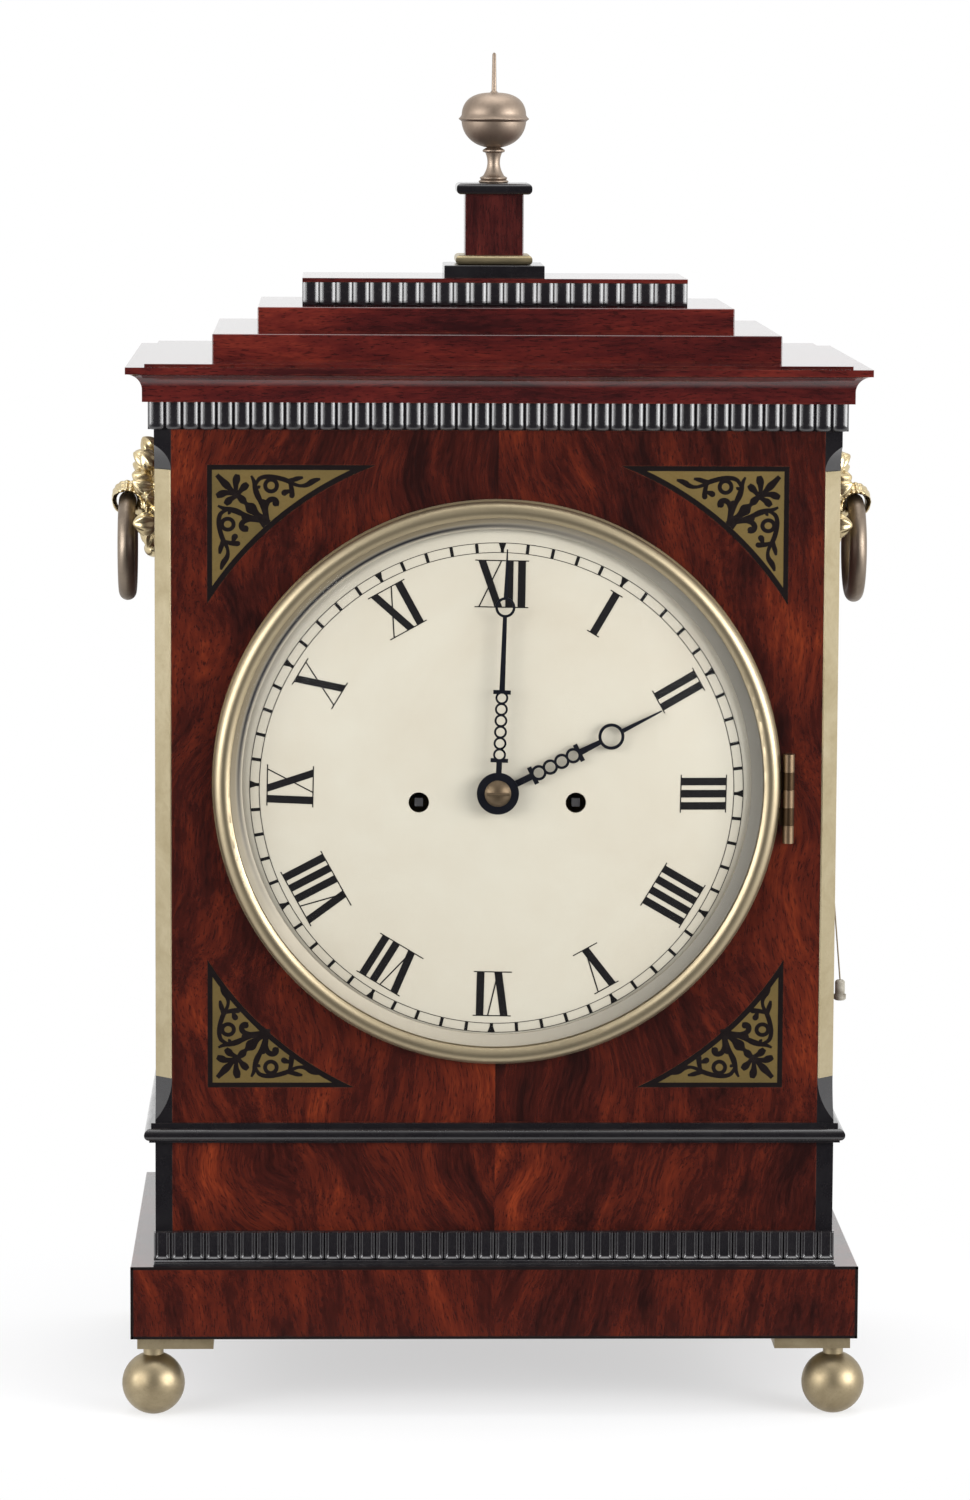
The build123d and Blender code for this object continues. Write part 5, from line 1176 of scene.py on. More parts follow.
@dataclass
class Spandrel:
    """Black border and foliage of the brass corner inlays."""

    half_width: float = 113.0 * MM
    top: float = 124.1 * MM
    foot: float = 120.8 * MM
    hollow_r: float = 133.0 * MM
    hollow_steps: int = 28
    proud: float = 0.08 * MM
    leg: float = 1.9 * MM
    hollow_leg: float = 2.1 * MM
    unit: float = 0.042 * MM
    corner: Point = (60, 85)
    squeeze: float = 0.93
    swell: float = 1.7
    widest: float = 34.0

    def outline(self, height: float, inset: float, hollow: float) -> list[Place]:
        """Outline of the corner, outer corner first.

        Args:
            height: Height of the outer corner above the bezel's centre.
            inset: How far the legs are moved in.
            hollow: How far the hollow side is moved in.

        Returns:
            Points from the bezel's centre.
        """
        x, z, radius = self.half_width - inset, height - inset, self.hollow_r + hollow
        first, last = math.asin(z / radius), math.acos(x / radius)
        points = [(x, 0, z)]
        for step in range(self.hollow_steps + 1):
            angle = first + (last - first) * step / self.hollow_steps
            points.append((radius * math.cos(angle), 0, radius * math.sin(angle)))
        return points

    def sprays(self) -> list[tuple[list[Place], bool]]:
        """Strokes of the foliage, as drawn from the outer corner.

        Returns:
            Points with half widths, and whether the stroke closes on itself.
        """
        flower = [
            [(150, 178, 14), (192, 224, 18), (235, 268, 27), (285, 318, 12), (330, 362, 12)],
            [(340, 172, 14), (332, 214, 29), (322, 270, 15), (328, 345, 11)],
            [(435, 256, 14), (408, 283, 28), (372, 318, 14), (345, 362, 11)],
            [(146, 374, 14), (186, 356, 28), (245, 336, 14), (330, 362, 10)],
            [(228, 452, 14), (254, 420, 28), (290, 392, 14), (345, 372, 10)],
            [(340, 362, 12), (385, 405, 30), (412, 436, 12), (425, 448, 14), (462, 482, 42), (515, 535, 16),
             (560, 580, 26), (612, 634, 34)],
        ]
        stems = [
            [(608, 640, 26), (600, 560, 20), (600, 480, 16), (592, 420, 18), (565, 410, 8)],
            [(598, 520, 12), (606, 440, 16), (640, 402, 18), (684, 402, 18), (704, 430, 18), (690, 446, 24)],
            [(590, 540, 10), (560, 430, 14), (520, 360, 20), (500, 290, 16), (498, 240, 14), (466, 184, 7)],
            [(512, 300, 8), (535, 285, 14), (552, 290, 8)],
            [(508, 270, 9), (526, 222, 13), (570, 196, 14), (640, 190, 15), (720, 204, 15), (800, 228, 16),
             (860, 262, 12), (920, 280, 10), (985, 270, 16), (1040, 226, 20), (1104, 212, 7)],
            [(800, 228, 10), (850, 224, 15), (900, 206, 16), (946, 200, 7)],
            [(818, 236, 10), (836, 280, 14), (842, 330, 16), (844, 372, 18), (836, 378, 12)],
            [(836, 320, 8), (800, 330, 14), (772, 340, 22), (764, 344, 12)],
        ]
        rings = []
        for u, v, radius, half in ((650, 275, 56, 13), (692, 438, 13, 12), (772, 342, 12, 11),
                                   (842, 366, 11, 10), (342, 366, 13, 12)):
            turns = [turn * math.pi / 6 for turn in range(12)]
            rings.append([(u + radius * math.cos(turn), v + radius * math.sin(turn), half) for turn in turns])
        strokes = [(stroke, False) for stroke in flower]
        left, high = self.corner
        for group, closed in ((stems, False), (rings, True)):
            for stroke in group:
                mirrored = [(left + v - high, high + (u - left) * self.squeeze, half)
                            for u, v, half in stroke]
                strokes += [(stroke, closed), (mirrored, closed)]
        return strokes

    def foliage(self, height: float) -> Thing:
        """Makes the foliage of one corner from flattened round strokes.

        Args:
            height: Height of the outer corner above the bezel's centre.

        Returns:
            The foliage of the upper right corner.
        """
        made = []
        for stroke, closed in self.sprays():
            places = [(self.half_width - (u - self.corner[0]) * self.unit, 0.0,
                       height - (v - self.corner[1]) * self.unit) for u, v, _ in stroke]
            piece = Bench.curve("spray", places, closed, resolution=4)
            for point, (_, _, half) in zip(piece.data.splines[0].points, stroke):
                point.radius = self.swell * half * self.unit
            piece.data.bevel_depth = 1.0
            piece.data.bevel_resolution = 1
            made.append(Bench.as_mesh(piece))
        whole = Bench.join("foliage", made)
        whole.data.transform(Matrix.Diagonal((1.0, self.proud / (self.widest * self.unit), 1.0, 1.0)))
        Bench.outward(whole)
        Bench.smooth(whole, degrees=60)
        return whole

    def build(self) -> None:
        """Makes the four corners."""
        borders, sprays = [], []
        for height, turn in ((self.top, 1.0), (self.foot, -1.0)):
            border = Bench.band("border", self.outline(height, 0.0, 0.0),
                                self.outline(height, self.leg, self.hollow_leg))
            Bench.frontward(border)
            Bench.modify(border, "SOLIDIFY", thickness=2 * self.proud, offset=0.0)
            foliage = self.foliage(height)
            moves = [Matrix.Translation((0, PANEL_Y, BEZEL_Z)) @ Matrix.Diagonal((hand, 1, turn, 1))
                     for hand in (1.0, -1.0)]
            borders += Bench.copies(border, moves)
            sprays += Bench.copies(foliage, moves)
            bpy.data.objects.remove(border)
            bpy.data.objects.remove(foliage)
        Bench.finish(Bench.join("spandrel_borders", borders), BLACK_INLAY, Body.CASE)
        Bench.finish(Bench.join("spandrel_foliage", sprays), BLACK_INLAY, Body.CASE)


@dataclass
class Gadroon:
    """A carved strip of tongues with rounded sides."""

    node: str
    low: float
    high: float
    half_x: float
    front_y: float
    back_y: float
    depth: float
    count: int
    round_side: float
    round_foot: float
    lip: float = 0.0
    ledge: float = 0.0
    side_count: int = 0
    whole_round: bool = False
    backing: float = 2.0 * MM
    overlap: float = 0.3 * MM
    joint: float = 0.12 * MM
    top_gap: float = 0.15 * MM
    lip_back: float = 0.1 * MM
    lip_round: float = 0.35 * MM
    ledge_height: float = 0.8 * MM
    crown: float = 1.5 * MM
    sunk: float = 0.0
    rim: float = 0.75 * MM
    grid: tuple[int, int] = (12, 9)
    crowding: float = 1.8
    side_reach: float = 0.92
    roll_reach: float = 0.8
    roll_share: float = 0.5

    def tongue(self, pitch: float) -> Thing:
        """Carves one tongue that faces -Y, its left side at the origin.

        Args:
            pitch: Distance from one tongue to the next.

        Returns:
            The tongue.
        """
        low, high = self.low + self.lip, self.high - self.top_gap
        half, foot = pitch / 2 - self.joint, self.round_foot
        Bench.clear()
        columns, rows = (size * (2 if self.sunk else 1) for size in self.grid)
        bpy.ops.mesh.primitive_grid_add(x_subdivisions=columns, y_subdivisions=rows, size=2.0)
        piece = Bench.newest("tongue")
        for vertex in piece.data.vertices:
            height = (high - low) * ((vertex.co.y + 1) / 2) ** self.crowding
            short = foot - math.sqrt(foot ** 2 - max(0.0, foot - height) ** 2)
            x = vertex.co.x * (half - short)
            edge = min(1.0, max(0.0, abs(x) - half + self.round_side) / self.round_side)
            fall = self.crown * (1.0 - math.sqrt(1.0 - (self.side_reach * edge) ** 2))
            roll = self.roll_share * self.crown * max(0.0, 1.0 - height / (self.roll_reach * foot)) ** 2
            inside = max(0.0, min(half - abs(x), height) - self.rim)
            panel = self.sunk * min(1.0, inside / self.rim)
            vertex.co = (pitch / 2 + x, fall + panel + roll, low + height)
        with Bench.editing(piece):
            bpy.ops.mesh.extrude_region_move()
        for vertex in piece.data.vertices:
            if vertex.select:
                vertex.co.y = self.depth
        Bench.outward(piece)
        return piece

    def row(self, length: float, count: int) -> Thing:
        """Repeats the tongue along a strip with a plain board behind it.

        Args:
            length: Length of the strip.
            count: How many tongues it has.

        Returns:
            The strip from the origin along X, facing -Y.
        """
        pitch = length / count
        tongue = self.tongue(pitch)
        Bench.modify(tongue, "ARRAY", count=count, use_relative_offset=False, use_constant_offset=True,
                     constant_offset_displace=(pitch, 0.0, 0.0))
        parts = [tongue, Bench.block("board", (0.0, self.depth - self.overlap, self.low),
                                     (length, self.depth + self.backing, self.high))]
        if self.lip:
            lip = Bench.block("lip", (0.0, self.lip_back, self.low),
                              (length, self.depth, self.low + self.lip))
            Bench.bevel(lip, self.lip_round, segments=2, test=lambda a, b: max(a.y, b.y) < 2 * self.lip_back)
            parts.append(lip)
        if self.ledge:
            parts.append(Bench.block("ledge", (0.0, -self.ledge, self.low),
                                     (length, 2 * self.lip_back, self.low + self.ledge_height)))
        return Bench.join("strip", parts)

    def build(self) -> None:
        """Carves the strip on each side that has one."""
        front = self.row(2 * self.half_x, self.count)
        moves = [Matrix.Translation((-self.half_x, self.front_y, 0))]
        if self.whole_round:
            moves.append(Matrix.Translation((self.half_x, self.back_y, 0)) @ Matrix.Rotation(math.pi, 4, "Z"))
        runs = Bench.copies(front, moves)
        bpy.data.objects.remove(front)
        if self.side_count:
            start = self.front_y + self.depth
            end = self.back_y - self.depth if self.whole_round else self.back_y
            side = self.row(end - start, self.side_count)
            right = Matrix.Translation((self.half_x, start, 0)) @ Matrix.Rotation(math.pi / 2, 4, "Z")
            runs += Bench.copies(side, [right, MIRROR @ right])
            bpy.data.objects.remove(side)
        strip = Bench.join("carved_" + self.node, runs)
        Bench.smooth(strip, degrees=50)
        Bench.finish(strip, CARVED_BLACK, Body.CASE)
        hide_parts(self.node)


GADROONS = (
    Gadroon("lower_gadroon", low=60.2 * MM, high=73.0 * MM, half_x=134.2 * MM, front_y=-85.75 * MM,
            back_y=PANEL_Y, depth=2.4 * MM, count=40, round_side=1.1 * MM, round_foot=1.3 * MM,
            lip=1.6 * MM, ledge=4.4 * MM, crown=1.2 * MM, sunk=0.9 * MM),
    Gadroon("upper_gadroon", low=388.8 * MM, high=399.6 * MM, half_x=135.9 * MM, front_y=-83.55 * MM,
            back_y=94.75 * MM, depth=3.0 * MM, count=41, round_side=3.0 * MM, round_foot=1.6 * MM,
            side_count=27, backing=6.0 * MM, crown=2.2 * MM),
    Gadroon("step_gadroon", low=434.4 * MM, high=443.6 * MM, half_x=76.5 * MM, front_y=-24.15 * MM,
            back_y=37.65 * MM, depth=2.0 * MM, count=23, round_side=2.8 * MM, round_foot=1.5 * MM,
            side_count=9, whole_round=True, backing=1.0 * MM, crown=1.6 * MM),
)


@dataclass
class Finial:
    """The turned finial: a spiked ball with a rim, on a waisted stem with a beaded foot."""

    foot: float = 482.4 * MM
    foot_r: float = 5.4 * MM
    stem_low: float = 485.3 * MM
    stem_waist: float = 490.6 * MM
    stem_high: float = 494.3 * MM
    stem_r: float = 2.5 * MM
    stem_flare: float = 1.7 * MM
    rim_z: float = 507.9 * MM
    tip: float = 534.3 * MM
    ball_r: float = 13.0 * MM
    upper: float = 10.5 * MM
    lower: float = 11.6 * MM
    dome: float = 2.6
    bowl: float = 2.15
    ball_steps: int = 18
    ball_step: float = 4.4
    stem_steps: int = 10
    bead_steps: int = 8
    turns: int = 72

    def bead(self, radius: float, height: float, half: float) -> list[Point]:
        """Points up a half-round bead by its reach, the height of its middle and half its thickness."""
        turns = [math.pi * (step / self.bead_steps - 0.5) for step in range(self.bead_steps + 1)]
        return [(radius - half + half * math.cos(turn), height + half * math.sin(turn)) for turn in turns]

    def ball(self, rise: float, power: float) -> list[Point]:
        """Half of the ball's outline, squarer than an ellipse.

        Args:
            rise: How far it goes up from the rim, or down where it is negative.
            power: How square it is: two for an ellipse.

        Returns:
            Its points from the rim to the axis, as radius and height.
        """
        points = []
        for step in range(1, self.ball_steps + 1):
            turn = math.radians(self.ball_step * step)
            radius = self.ball_r * math.cos(turn) ** (2 / power)
            points.append((radius, self.rim_z + rise * math.sin(turn) ** (2 / power)))
        return points

    def profile(self) -> list[Point]:
        """The turned outline from the foot to the tip.

        Returns:
            Its points, as radius and height.
        """
        stem = []
        for step in range(self.stem_steps + 1):
            height = self.stem_low + (self.stem_high - self.stem_low) * step / self.stem_steps
            bulge = ((height - self.stem_waist) / (self.stem_waist - self.stem_low)) ** 2
            stem.append((self.stem_r + self.stem_flare * bulge, height))
        spike_z = self.rim_z + self.upper
        spike = [(1.6 * MM, spike_z), (1.0 * MM, spike_z + 0.7 * MM), (0.75 * MM, self.tip - 0.8 * MM),
                 (0.45 * MM, self.tip - 0.2 * MM), (0.0, self.tip)]
        return [(0.0, self.foot), (self.foot_r, self.foot), *self.bead(6.0 * MM, 482.9 * MM, 0.45 * MM),
                *self.bead(5.5 * MM, 484.3 * MM, 0.45 * MM), *stem,
                *self.bead(4.5 * MM, 495.2 * MM, 0.6 * MM), (3.6 * MM, 496.1 * MM),
                *reversed(self.ball(-self.lower, self.bowl)), *self.bead(14.1 * MM, self.rim_z, 0.4 * MM),
                *self.ball(self.upper, self.dome), *spike]

    def build(self) -> None:
        """Turns the finial."""
        points = [(radius, MIDDLE_Y, z) for radius, z in self.profile()]
        turned = Bench.wire("turned_finial", points, closed=False)
        with Bench.editing(turned):
            bpy.ops.mesh.spin(steps=self.turns, angle=2 * math.pi, center=(0, MIDDLE_Y, 0), axis=(0, 0, 1))
        Bench.outward(turned)
        Bench.smooth(turned, degrees=35)
        Bench.finish(turned, DARK_BRONZE, Body.CASE)
        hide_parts("finial")


@dataclass
class Slip:
    """The silvered face of the sloping slip inside the bezel."""

    outer_r: float = 104.1 * MM
    inner_r: float = 99.5 * MM
    outer_depth: float = 2.3 * MM
    inner_depth: float = 0.9 * MM
    proud: float = 0.05 * MM

    def build(self) -> None:
        """Lays the face on the slip."""
        front = PANEL_Y - self.proud
        face = Bench.band("slip_face", circle(self.outer_r, front - self.outer_depth, BEZEL_Z),
                          circle(self.inner_r, front - self.inner_depth, BEZEL_Z))
        Bench.frontward(face)
        Bench.modify(face, "SOLIDIFY", thickness=self.proud, offset=-1.0)
        Bench.smooth(face, degrees=30)
        Bench.finish(face, SLIP_SILVER, Body.BEZEL)


@dataclass
class LionMask:
    """A cast lion's mask with its mane, and the leaf that holds the ring.

    Shapes are given in millimetres out, across and up from the mask's centre.
    """

    side_x: float = 133.6 * MM
    centre_z: float = 355.8 * MM
    pivot_x: float = 147.0 * MM
    pivot_z: float = 354.4 * MM
    ring_r: float = 18.5
    tube_r: float = 3.5
    room: float = 0.35
    hood_in: float = 4.5
    hood_out: float = 6.0
    hood_steps: int = 15
    hood_start: float = -10.0
    hood_turn: float = 17.0
    hood_rise: float = 2.2
    hood_fall: float = 0.3
    hood_spread: float = 24.0
    hood_taper: float = 16.0
    taper_start: float = 120.0
    taper_length: float = 108.0
    hood_lump: Point = (2.6, 1.5)
    swings: tuple[float, ...] = (-10.0, 0.0, 21.0, 42.0, 64.0, 85.0)
    voxel: float = 0.36 * MM
    ridges: int = 6
    ridge_height: float = 0.13
    lock_depth: float = 3.4
    tip_taper: float = 0.45
    tip_curl: float = 0.2

    @staticmethod
    def ball(name: str, segments: int, rings: int) -> Thing:
        """Adds a ball of radius one to be shaped.

        Args:
            name: Its name.
            segments: How many faces go round it.
            rings: How many go from end to end.

        Returns:
            The ball.
        """
        Bench.clear()
        bpy.ops.mesh.primitive_uv_sphere_add(segments=segments, ring_count=rings, radius=1.0)
        return Bench.newest(name)

    def lump(self, middle: Place, size: Place, turn: float = 0.0, lean: float = 0.0) -> Thing:
        """Adds a rounded lump of metal.

        Args:
            middle: Its middle.
            size: Its half sizes.
            turn: Its turn about the outward axis in degrees.
            lean: How far its outer end leans outward in degrees.

        Returns:
            The lump.
        """
        piece = self.ball("lump", segments=20, rings=12)
        shape = Matrix.Diagonal((*(value * MM for value in size), 1.0))
        leaned = Matrix.Rotation(math.radians(lean), 4, "Y")
        turned = Matrix.Rotation(math.radians(turn), 4, "X")
        place = Matrix.Translation([value * MM for value in middle])
        piece.data.transform(place @ turned @ leaned @ shape)
        return piece

    def lock(self, angle: float, reach: float, length: float, width: float, out: float, lean: float) -> Thing:
        """Adds a pointed lock of the mane.

        Args:
            angle: Its direction round the mask in degrees.
            reach: How far its middle is from the centre.
            length: Its half length.
            width: Its half width.
            out: How far its middle stands out.
            lean: How far its tip leans outward in degrees.

        Returns:
            The lock.
        """
        piece = self.ball("lock", segments=40, rings=18)
        for vertex in piece.data.vertices:
            tip = max(0.0, vertex.co.z) ** 2
            ridge = 1.0 + self.ridge_height * math.cos(self.ridges * math.atan2(vertex.co.y, vertex.co.x))
            taper = ridge * (1.0 - self.tip_taper * tip)
            vertex.co.x *= taper
            vertex.co.y = vertex.co.y * taper + self.tip_curl * tip
        shape = Matrix.Diagonal((self.lock_depth * MM, width * MM, length * MM, 1.0))
        leaned = Matrix.Rotation(math.radians(lean), 4, "Y")
        lifted = Matrix.Translation((out * MM, 0, reach * MM))
        turned = Matrix.Rotation(math.radians(angle), 4, "X")
        piece.data.transform(turned @ lifted @ leaned @ shape)
        return piece

    def hood(self) -> list[Thing]:
        """Adds the leaf that curls from the mouth over the ring and down its outer side.

        Returns:
            The leaf as overlapping lumps.
        """
        pivot_out, pivot_up = (self.pivot_x - self.side_x) / MM, (self.pivot_z - self.centre_z) / MM
        lumps = []
        for step in range(self.hood_steps):
            turn = self.hood_start + self.hood_turn * step
            bend = math.radians(turn)
            tapered = max(0.0, turn - self.taper_start)
            spread = self.hood_spread - self.hood_taper * tapered / self.taper_length
            for share in (-1.0, -0.5, 0.0, 0.5, 1.0):
                round_ring = math.radians(share * spread)
                drop = self.ring_r * (1 - math.cos(round_ring))
                inner = max(self.hood_in, self.tube_r + drop + self.room)
                rise = self.hood_rise * max(0.0, math.sin(bend))
                outer = self.hood_out + rise * (1 - self.hood_fall * abs(share))
                middle, half = (inner + outer) / 2, (outer - inner) / 2
                place = (pivot_out - middle * math.cos(bend), self.ring_r * math.sin(round_ring),
                         pivot_up - drop + middle * math.sin(bend))
                lumps.append(self.lump(place, (half, *self.hood_lump), lean=turn))
        return lumps

    def mane(self) -> list[Thing]:
        """Adds the locks: crown in three rows, flanks, cheeks, beard, fringe and chin.

        Returns:
            The locks.
        """
        rows = (
            ((-40.0, 0.0, 40.0), 20.6, 4.4, 4.6, 4.6, 40.0),
            ((-70.0, -22.0, 22.0, 70.0), 16.6, 5.4, 4.4, 6.2, 62.0),
            ((-48.0, 0.0, 48.0), 11.4, 5.4, 5.0, 6.4, 70.0),
            ((-114.0, 114.0), 23.2, 5.0, 4.6, 5.8, 76.0),
            ((-88.0, 88.0, -112.0, 112.0), 15.2, 6.4, 4.0, 3.4, 14.0),
            ((-146.0, 146.0), 11.8, 6.2, 3.8, 4.4, 26.0),
            ((-160.0, 160.0), 16.4, 5.4, 3.6, 3.6, 18.0),
            ((180.0,), 8.6, 6.2, 4.8, 5.4, 56.0),
            ((180.0,), 13.6, 5.4, 4.4, 4.8, 26.0),
        )
        return [self.lock(angle, *sizes) for angles, *sizes in rows for angle in angles]

    def plate(self) -> list[Thing]:
        """Adds the round plate, the head on it and the lower edge.

        Returns:
            The lumps.
        """
        rows = (((1.0, 0, 0), (3.0, 20.0, 21.5)), ((2.0, 0, -1), (5.6, 14.5, 18.5)),
                ((2.5, 0, -21.0), (4.4, 7.0, 3.6)))
        return [self.lump(place, size) for place, size in rows]

    def face(self) -> list[Thing]:
        """Adds brows, eyes, cheeks, muzzle and ears on both sides, then forehead, nose, jaw and mouth.

        Returns:
            The lumps.
        """
        paired = (
            ((7.0, 5.2, 3.8), (2.6, 3.6, 1.8), 14), ((6.9, 4.6, 1.4), (1.7, 1.8, 1.3), 0),
            ((6.2, 6.4, -3.4), (3.0, 3.8, 4.2), 0), ((8.0, 2.9, -5.0), (3.0, 3.3, 2.6), 0),
            ((6.0, 9.6, 8.6), (2.4, 2.8, 3.2), -30),
        )
        middle = (
            ((7.0, 0, 6.2), (3.0, 4.2, 3.6)), ((8.2, 0, 0.6), (2.8, 2.0, 4.6)),
            ((9.6, 0, -3.0), (1.9, 2.7, 1.6)), ((6.0, 0, -9.4), (3.2, 4.4, 2.6)),
            ((8.6, 0, -2.6), (4.0, 3.6, 3.0)),
        )
        lumps = []
        for hand in (1, -1):
            for (out, across, up), size, turn in paired:
                lumps.append(self.lump((out, across * hand, up), size, turn=turn * hand))
        return lumps + [self.lump(place, size) for place, size in middle]

    def keep_clear(self, mask: Thing) -> None:
        """Cuts the back flat against the case and frees the way that the ring swings.

        Args:
            mask: The mask, about its own centre.
        """
        with Bench.editing(mask):
            bpy.ops.mesh.bisect(plane_co=(0, 0, 0), plane_no=(1, 0, 0), clear_inner=True, use_fill=True)
        pivot = Matrix.Translation((self.pivot_x - self.side_x, 0, self.pivot_z - self.centre_z))
        for swing in self.swings:
            Bench.clear()
            bpy.ops.mesh.primitive_torus_add(
                major_radius=self.ring_r * MM, minor_radius=(self.tube_r + self.room) * MM, major_segments=72,
                minor_segments=20, location=(0, 0, -self.ring_r * MM), rotation=(0, math.pi / 2, 0))
            ring = Bench.settle(Bench.newest("ring_room"))
            ring.data.transform(pivot @ Matrix.Rotation(math.radians(-swing), 4, "Y"))
            Bench.modify(mask, "BOOLEAN", operation="DIFFERENCE", object=ring, solver="EXACT")
            bpy.data.objects.remove(ring)

    def build(self) -> None:
        """Casts the two masks."""
        mask = Bench.join("mask", [*self.plate(), *self.mane(), *self.face(), *self.hood()])
        Bench.modify(mask, "REMESH", mode="VOXEL", voxel_size=self.voxel)
        Bench.modify(mask, "SMOOTH", factor=0.5, iterations=1)
        self.keep_clear(mask)
        Bench.modify(mask, "DECIMATE", ratio=0.45)
        right = Matrix.Translation((self.side_x, MIDDLE_Y, self.centre_z))
        both = Bench.join("cast_lion_masks", Bench.copies(mask, [right, MIRROR @ right]))
        bpy.data.objects.remove(mask)
        Bench.smooth(both, degrees=80)
        Bench.finish(both, GILT_BRASS, Body.CASE)
        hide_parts("lion_masks")


@dataclass
class Stringing:
    """Thin black lines let into the plinth's front."""

    half_x: float = 143.2 * MM
    front_y: float = -90.85 * MM
    low: float = 31.3 * MM
    high: float = 60.2 * MM
    line: float = 1.1 * MM
    proud: float = 0.06 * MM
    sunk: float = 0.3 * MM
    rounding: float = 0.03 * MM

    def build(self) -> None:
        """Lays the lines along the top, the foot and the two ends."""
        near, far = self.front_y - self.proud, self.front_y + self.sunk
        outer, inner = self.half_x + self.proud, self.half_x - self.line
        spans = (
            (-self.half_x, self.half_x, self.high - self.line, self.high + self.proud),
            (-self.half_x, self.half_x, self.low, self.low + self.line),
            (-outer, -inner, self.low, self.high),
            (inner, outer, self.low, self.high),
        )
        lines = Bench.join("plinth_stringing", [
            Bench.block("line", (left, near, low), (right, far, high)) for left, right, low, high in spans])
        Bench.bevel(lines, self.rounding, segments=1, test=lambda a, b: True)
        Bench.finish(lines, BLACK_INLAY, Body.CASE)


@dataclass
class RepeatCord:
    """The pull cord at the right side."""

    exit: Place = (134.8 * MM, -41.25 * MM, 201.0 * MM)
    corner: Place = (136.2 * MM, -41.25 * MM, 201.0 * MM)
    below: Place = (136.33 * MM, -41.25 * MM, 199.61 * MM)
    end: Place = (139.2 * MM, -41.25 * MM, 166.5 * MM)
    diameter: float = 0.6 * MM
    length: float = 35.6 * MM

    def build(self, bob: Thing) -> None:
        """Hangs the cord from its bush to the bob.

        Args:
            bob: The bob's CAD node; not used.
        """
        route = Bench.curve("pull_cord", (self.exit, self.corner, self.below, self.end), False, resolution=12)
        line = bpy.data.meshes.new_from_object(route)
        bpy.data.meshes.remove(line)
        route.data.bevel_depth = self.diameter / 2
        route.data.bevel_resolution = 3
        cord = Bench.as_mesh(route)
        Bench.outward(cord)
        Bench.smooth(cord, degrees=60)
        Bench.dress(cord, BRAID)
        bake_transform(cord)
        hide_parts("repeat_cord")


@dataclass
class SideSilk:
    """Silk stretched behind the pierced frets."""

    face_x: float = 122.9 * MM
    half_width: float = 41.0 * MM
    foot_z: float = 155.2 * MM
    spring_z: float = 234.2 * MM
    thickness: float = 0.3 * MM
    arch_steps: int = 24

    def outline(self) -> list[Point]:
        """Outline of the arched sheet in Y and Z.

        Returns:
            Its points.
        """
        points = [(-self.half_width, self.foot_z), (self.half_width, self.foot_z)]
        for step in range(self.arch_steps + 1):
            angle = math.pi * step / self.arch_steps
            points.append((self.half_width * math.cos(angle),
                           self.spring_z + self.half_width * math.sin(angle)))
        return points

    def build(self) -> None:
        """Stretches the two sheets."""
        for hand, name in ((1, "right_silk"), (-1, "left_silk")):
            sheet = Bench.wire(name, [(hand * self.face_x, MIDDLE_Y + y, z) for y, z in self.outline()])
            with Bench.editing(sheet):
                bpy.ops.mesh.edge_face_add()
            if sheet.data.polygons[0].normal.x * hand < 0:
                sheet.data.flip_normals()
            Bench.modify(sheet, "SOLIDIFY", thickness=self.thickness, offset=-1.0)
            Bench.finish(sheet, GREEN_SILK, Body.CASE)


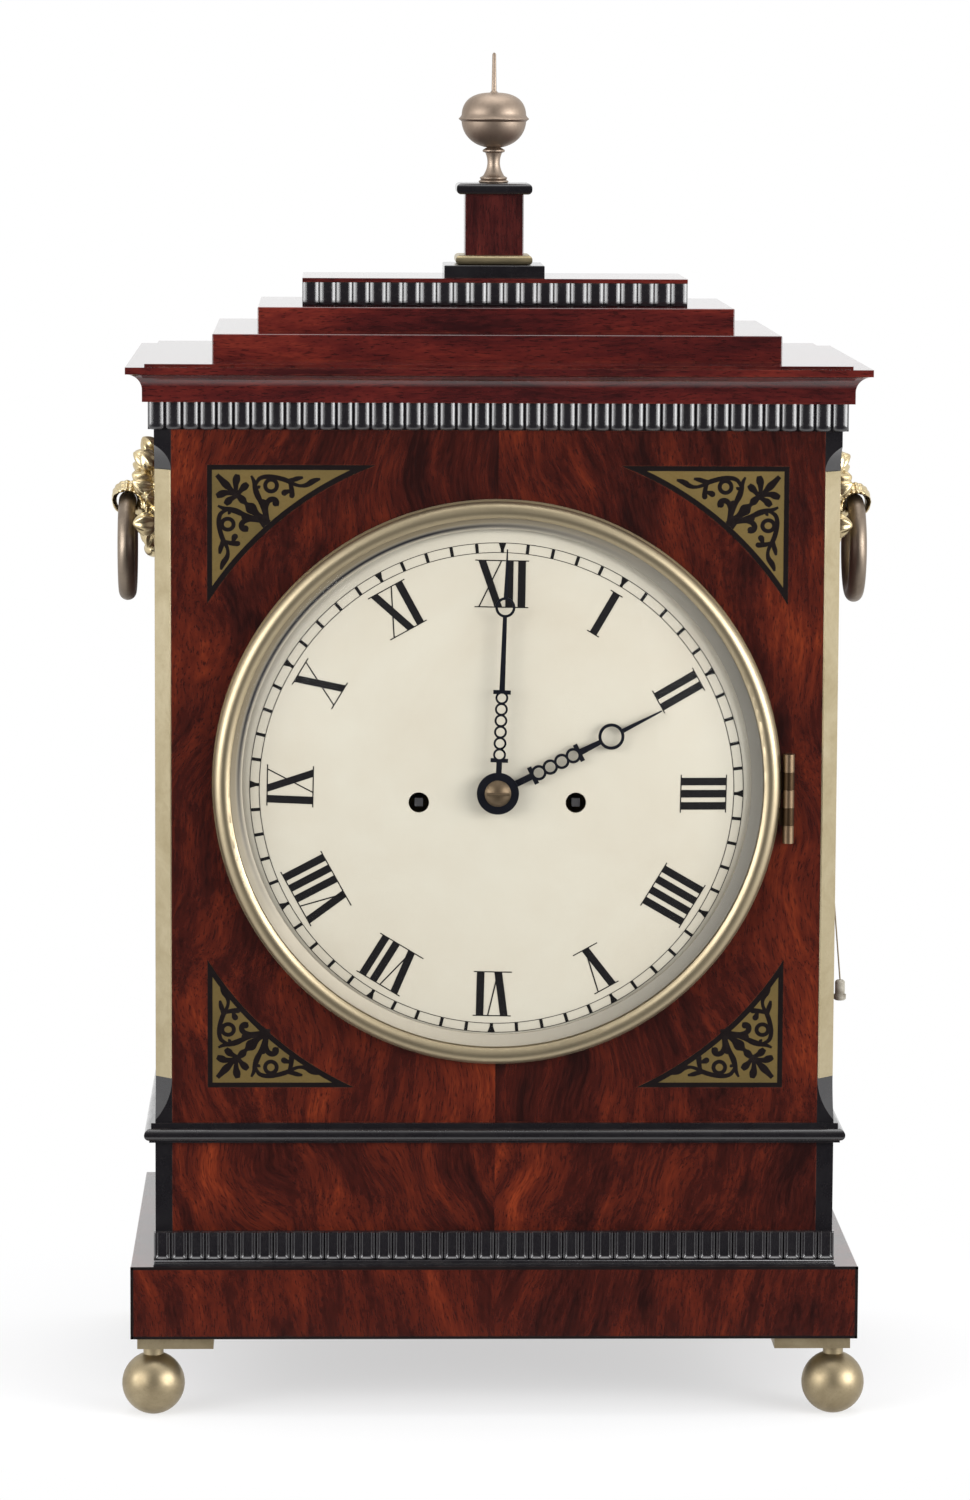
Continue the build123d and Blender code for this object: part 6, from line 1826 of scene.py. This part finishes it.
@dataclass
class Studio:
    """Floor, light and camera."""

    camera_place: Place = (-64.8 * MM, -2180.5 * MM, 528.6 * MM)
    focal_pixels: float = 5422.3
    picture_height: float = 1500.0
    sensor: float = 24.0
    pitch: float = 7.182
    roll: float = 0.305
    yaw: float = 1.639
    clip_end: float = 50.0
    floor_front: float = -0.215
    floor_back: float = 1.0
    paper: Colour = (0.92, 0.92, 0.92)
    white: Colour = (1.0, 1.0, 1.0)
    daylight: Colour = (0.62, 0.63, 0.65)
    dim_room: Colour = (0.03, 0.03, 0.033)
    room_edge: Point = (-0.86, -0.45)
    floor_fade: tuple[float, ...] = (0.16, 0.32, 0.55, 1.0)
    front_stretch: float = 0.5
    aim: Place = (0.0, 0.0, 0.28)
    lamps: tuple[tuple[str, Place, float, float], ...] = (
        ("left_box", (-1.5, -1.7, 0.85), 1.2, 18.0),
        ("right_box", (1.6, -1.7, 0.8), 1.2, 24.0),
        ("left_wing", (-1.6, -0.85, 0.55), 0.9, 14.0),
        ("right_wing", (1.6, -0.85, 0.55), 0.9, 18.0),
        ("top_box", (0.1, 0.2, 2.2), 1.6, 19.0),
    )

    def camera(self) -> None:
        """Places the camera at the photograph's point of view."""
        data = bpy.data.cameras.new("camera")
        data.sensor_fit = "VERTICAL"
        data.sensor_height = self.sensor
        data.lens = self.focal_pixels / self.picture_height * self.sensor
        data.clip_end = self.clip_end
        pitch, roll, yaw = (math.radians(value) for value in (self.pitch, self.roll, self.yaw))
        forward = Vector((math.sin(yaw) * math.cos(pitch), math.cos(yaw) * math.cos(pitch), -math.sin(pitch)))
        right = Vector((math.cos(yaw), -math.sin(yaw), 0.0))
        up = right.cross(forward)
        level = math.cos(roll) * right + math.sin(roll) * up
        upright = -math.sin(roll) * right + math.cos(roll) * up
        view = bpy.data.objects.new("camera", data)
        turn = Matrix((level, upright, -forward)).transposed().to_4x4()
        view.matrix_world = Matrix.Translation(self.camera_place) @ turn
        bpy.context.scene.collection.objects.link(view)
        bpy.context.scene.camera = view

    def light(self) -> None:
        """Hangs the soft boxes, each with its place, side in metres and power in watts."""
        for name, place, size, power in self.lamps:
            data = bpy.data.lights.new(name, "AREA")
            data.shape = "SQUARE"
            data.size = size
            data.energy = power
            lamp = bpy.data.objects.new(name, data)
            lamp.location = place
            lamp.rotation_euler = (Vector(self.aim) - Vector(place)).to_track_quat("-Z", "Y").to_euler()
            bpy.context.scene.collection.objects.link(lamp)

    def world(self) -> None:
        """Surrounds the clock with a white backdrop and a dimmer room in front."""
        world = bpy.data.worlds.new("studio")
        world.use_nodes = True
        bpy.context.scene.world = world
        tree = Tree(world.node_tree)
        way = tree.add("SeparateXYZ", {0: tree.add("TexCoord").outputs["Generated"]})
        room = tree.mix(tree.span(way.outputs[1], *self.room_edge), self.dim_room, self.white)
        path = tree.add("LightPath").outputs
        mirrored = tree.math("MAXIMUM", path["Is Glossy Ray"], path["Is Transmission Ray"])
        light = tree.mix(path["Is Camera Ray"], tree.mix(mirrored, self.daylight, room), self.white)
        shader = tree.add("Background", {0: light, 1: 1.0})
        tree.add("OutputWorld", {0: shader.outputs[0]})

    def floor(self) -> None:
        """Lays the pale floor, which fades to white away from the clock."""
        Bench.clear()
        bpy.ops.mesh.primitive_plane_add(size=2.0)
        floor = Bench.newest("floor")
        for vertex in floor.data.vertices:
            vertex.co.y = self.floor_front if vertex.co.y < 0 else self.floor_back
        made = bpy.data.materials.new("pale_floor")
        made.use_nodes = True
        tree = Tree(made.node_tree)
        paper = tree.add("BsdfDiffuse", {0: self.paper})
        glow = tree.add("Emission", {0: self.white, 1: 1.0})
        path = tree.add("LightPath").outputs
        mirrored = tree.math("MAXIMUM", path["Is Glossy Ray"], path["Is Transmission Ray"])
        seen = tree.math("MAXIMUM", path["Is Camera Ray"], mirrored)
        spot = tree.add("SeparateXYZ", {0: tree.add("TexCoord").outputs["Object"]}).outputs
        before = tree.times(tree.math("MINIMUM", spot[1], 0.0), self.front_stretch)
        flat = tree.add("CombineXYZ", {0: spot[0], 1: tree.math("ADD", spot[1], before)})
        reach = tree.add("VectorMath", {0: flat.outputs[0]}, operation="LENGTH").outputs["Value"]
        share = tree.times(seen, tree.span(reach, *self.floor_fade))
        both = tree.add("MixShader", {0: share, 1: paper.outputs[0], 2: glow.outputs[0]})
        tree.add("OutputMaterial", {0: both.outputs[0]})
        floor.data.materials.append(made)

    def build(self) -> None:
        """Sets the studio up."""
        self.camera()
        self.floor()
        self.world()
        self.light()
        bpy.context.scene.view_settings.view_transform = "Standard"


def dress_nodes(nodes: dict[str, Thing]) -> None:
    """Gives every CAD node its finish.

    Args:
        nodes: The frame's nodes by name.
    """
    for finish, names in NODE_FINISHES.items():
        for name in names:
            for place in nodes[name].material_slots:
                place.material = finish.material()
            LOG.info("%s: %s", name, finish.name)


def corners(box: Sequence[Sequence[float]]) -> list[list[float]]:
    """A box's lowest and highest corner as plain lists."""
    return [[float(value) for value in corner] for corner in box]


def main() -> None:
    """Builds and dresses the clock in order."""
    logging.basicConfig(level=logging.INFO, format="%(name)s: %(message)s")
    for extra in list(bpy.data.objects):
        bpy.data.objects.remove(extra)
    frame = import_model()
    nodes = frame["nodes"]
    dress_nodes(nodes)
    Studio().build()
    RepeatCord().build(nodes["repeat_bob"])
    for sub_assembly in (Dial(), Spandrel(), *GADROONS, Finial(), Slip(), LionMask(), Stringing(),
                         SideSilk()):
        sub_assembly.build()


if __name__ == "__main__":
    main()
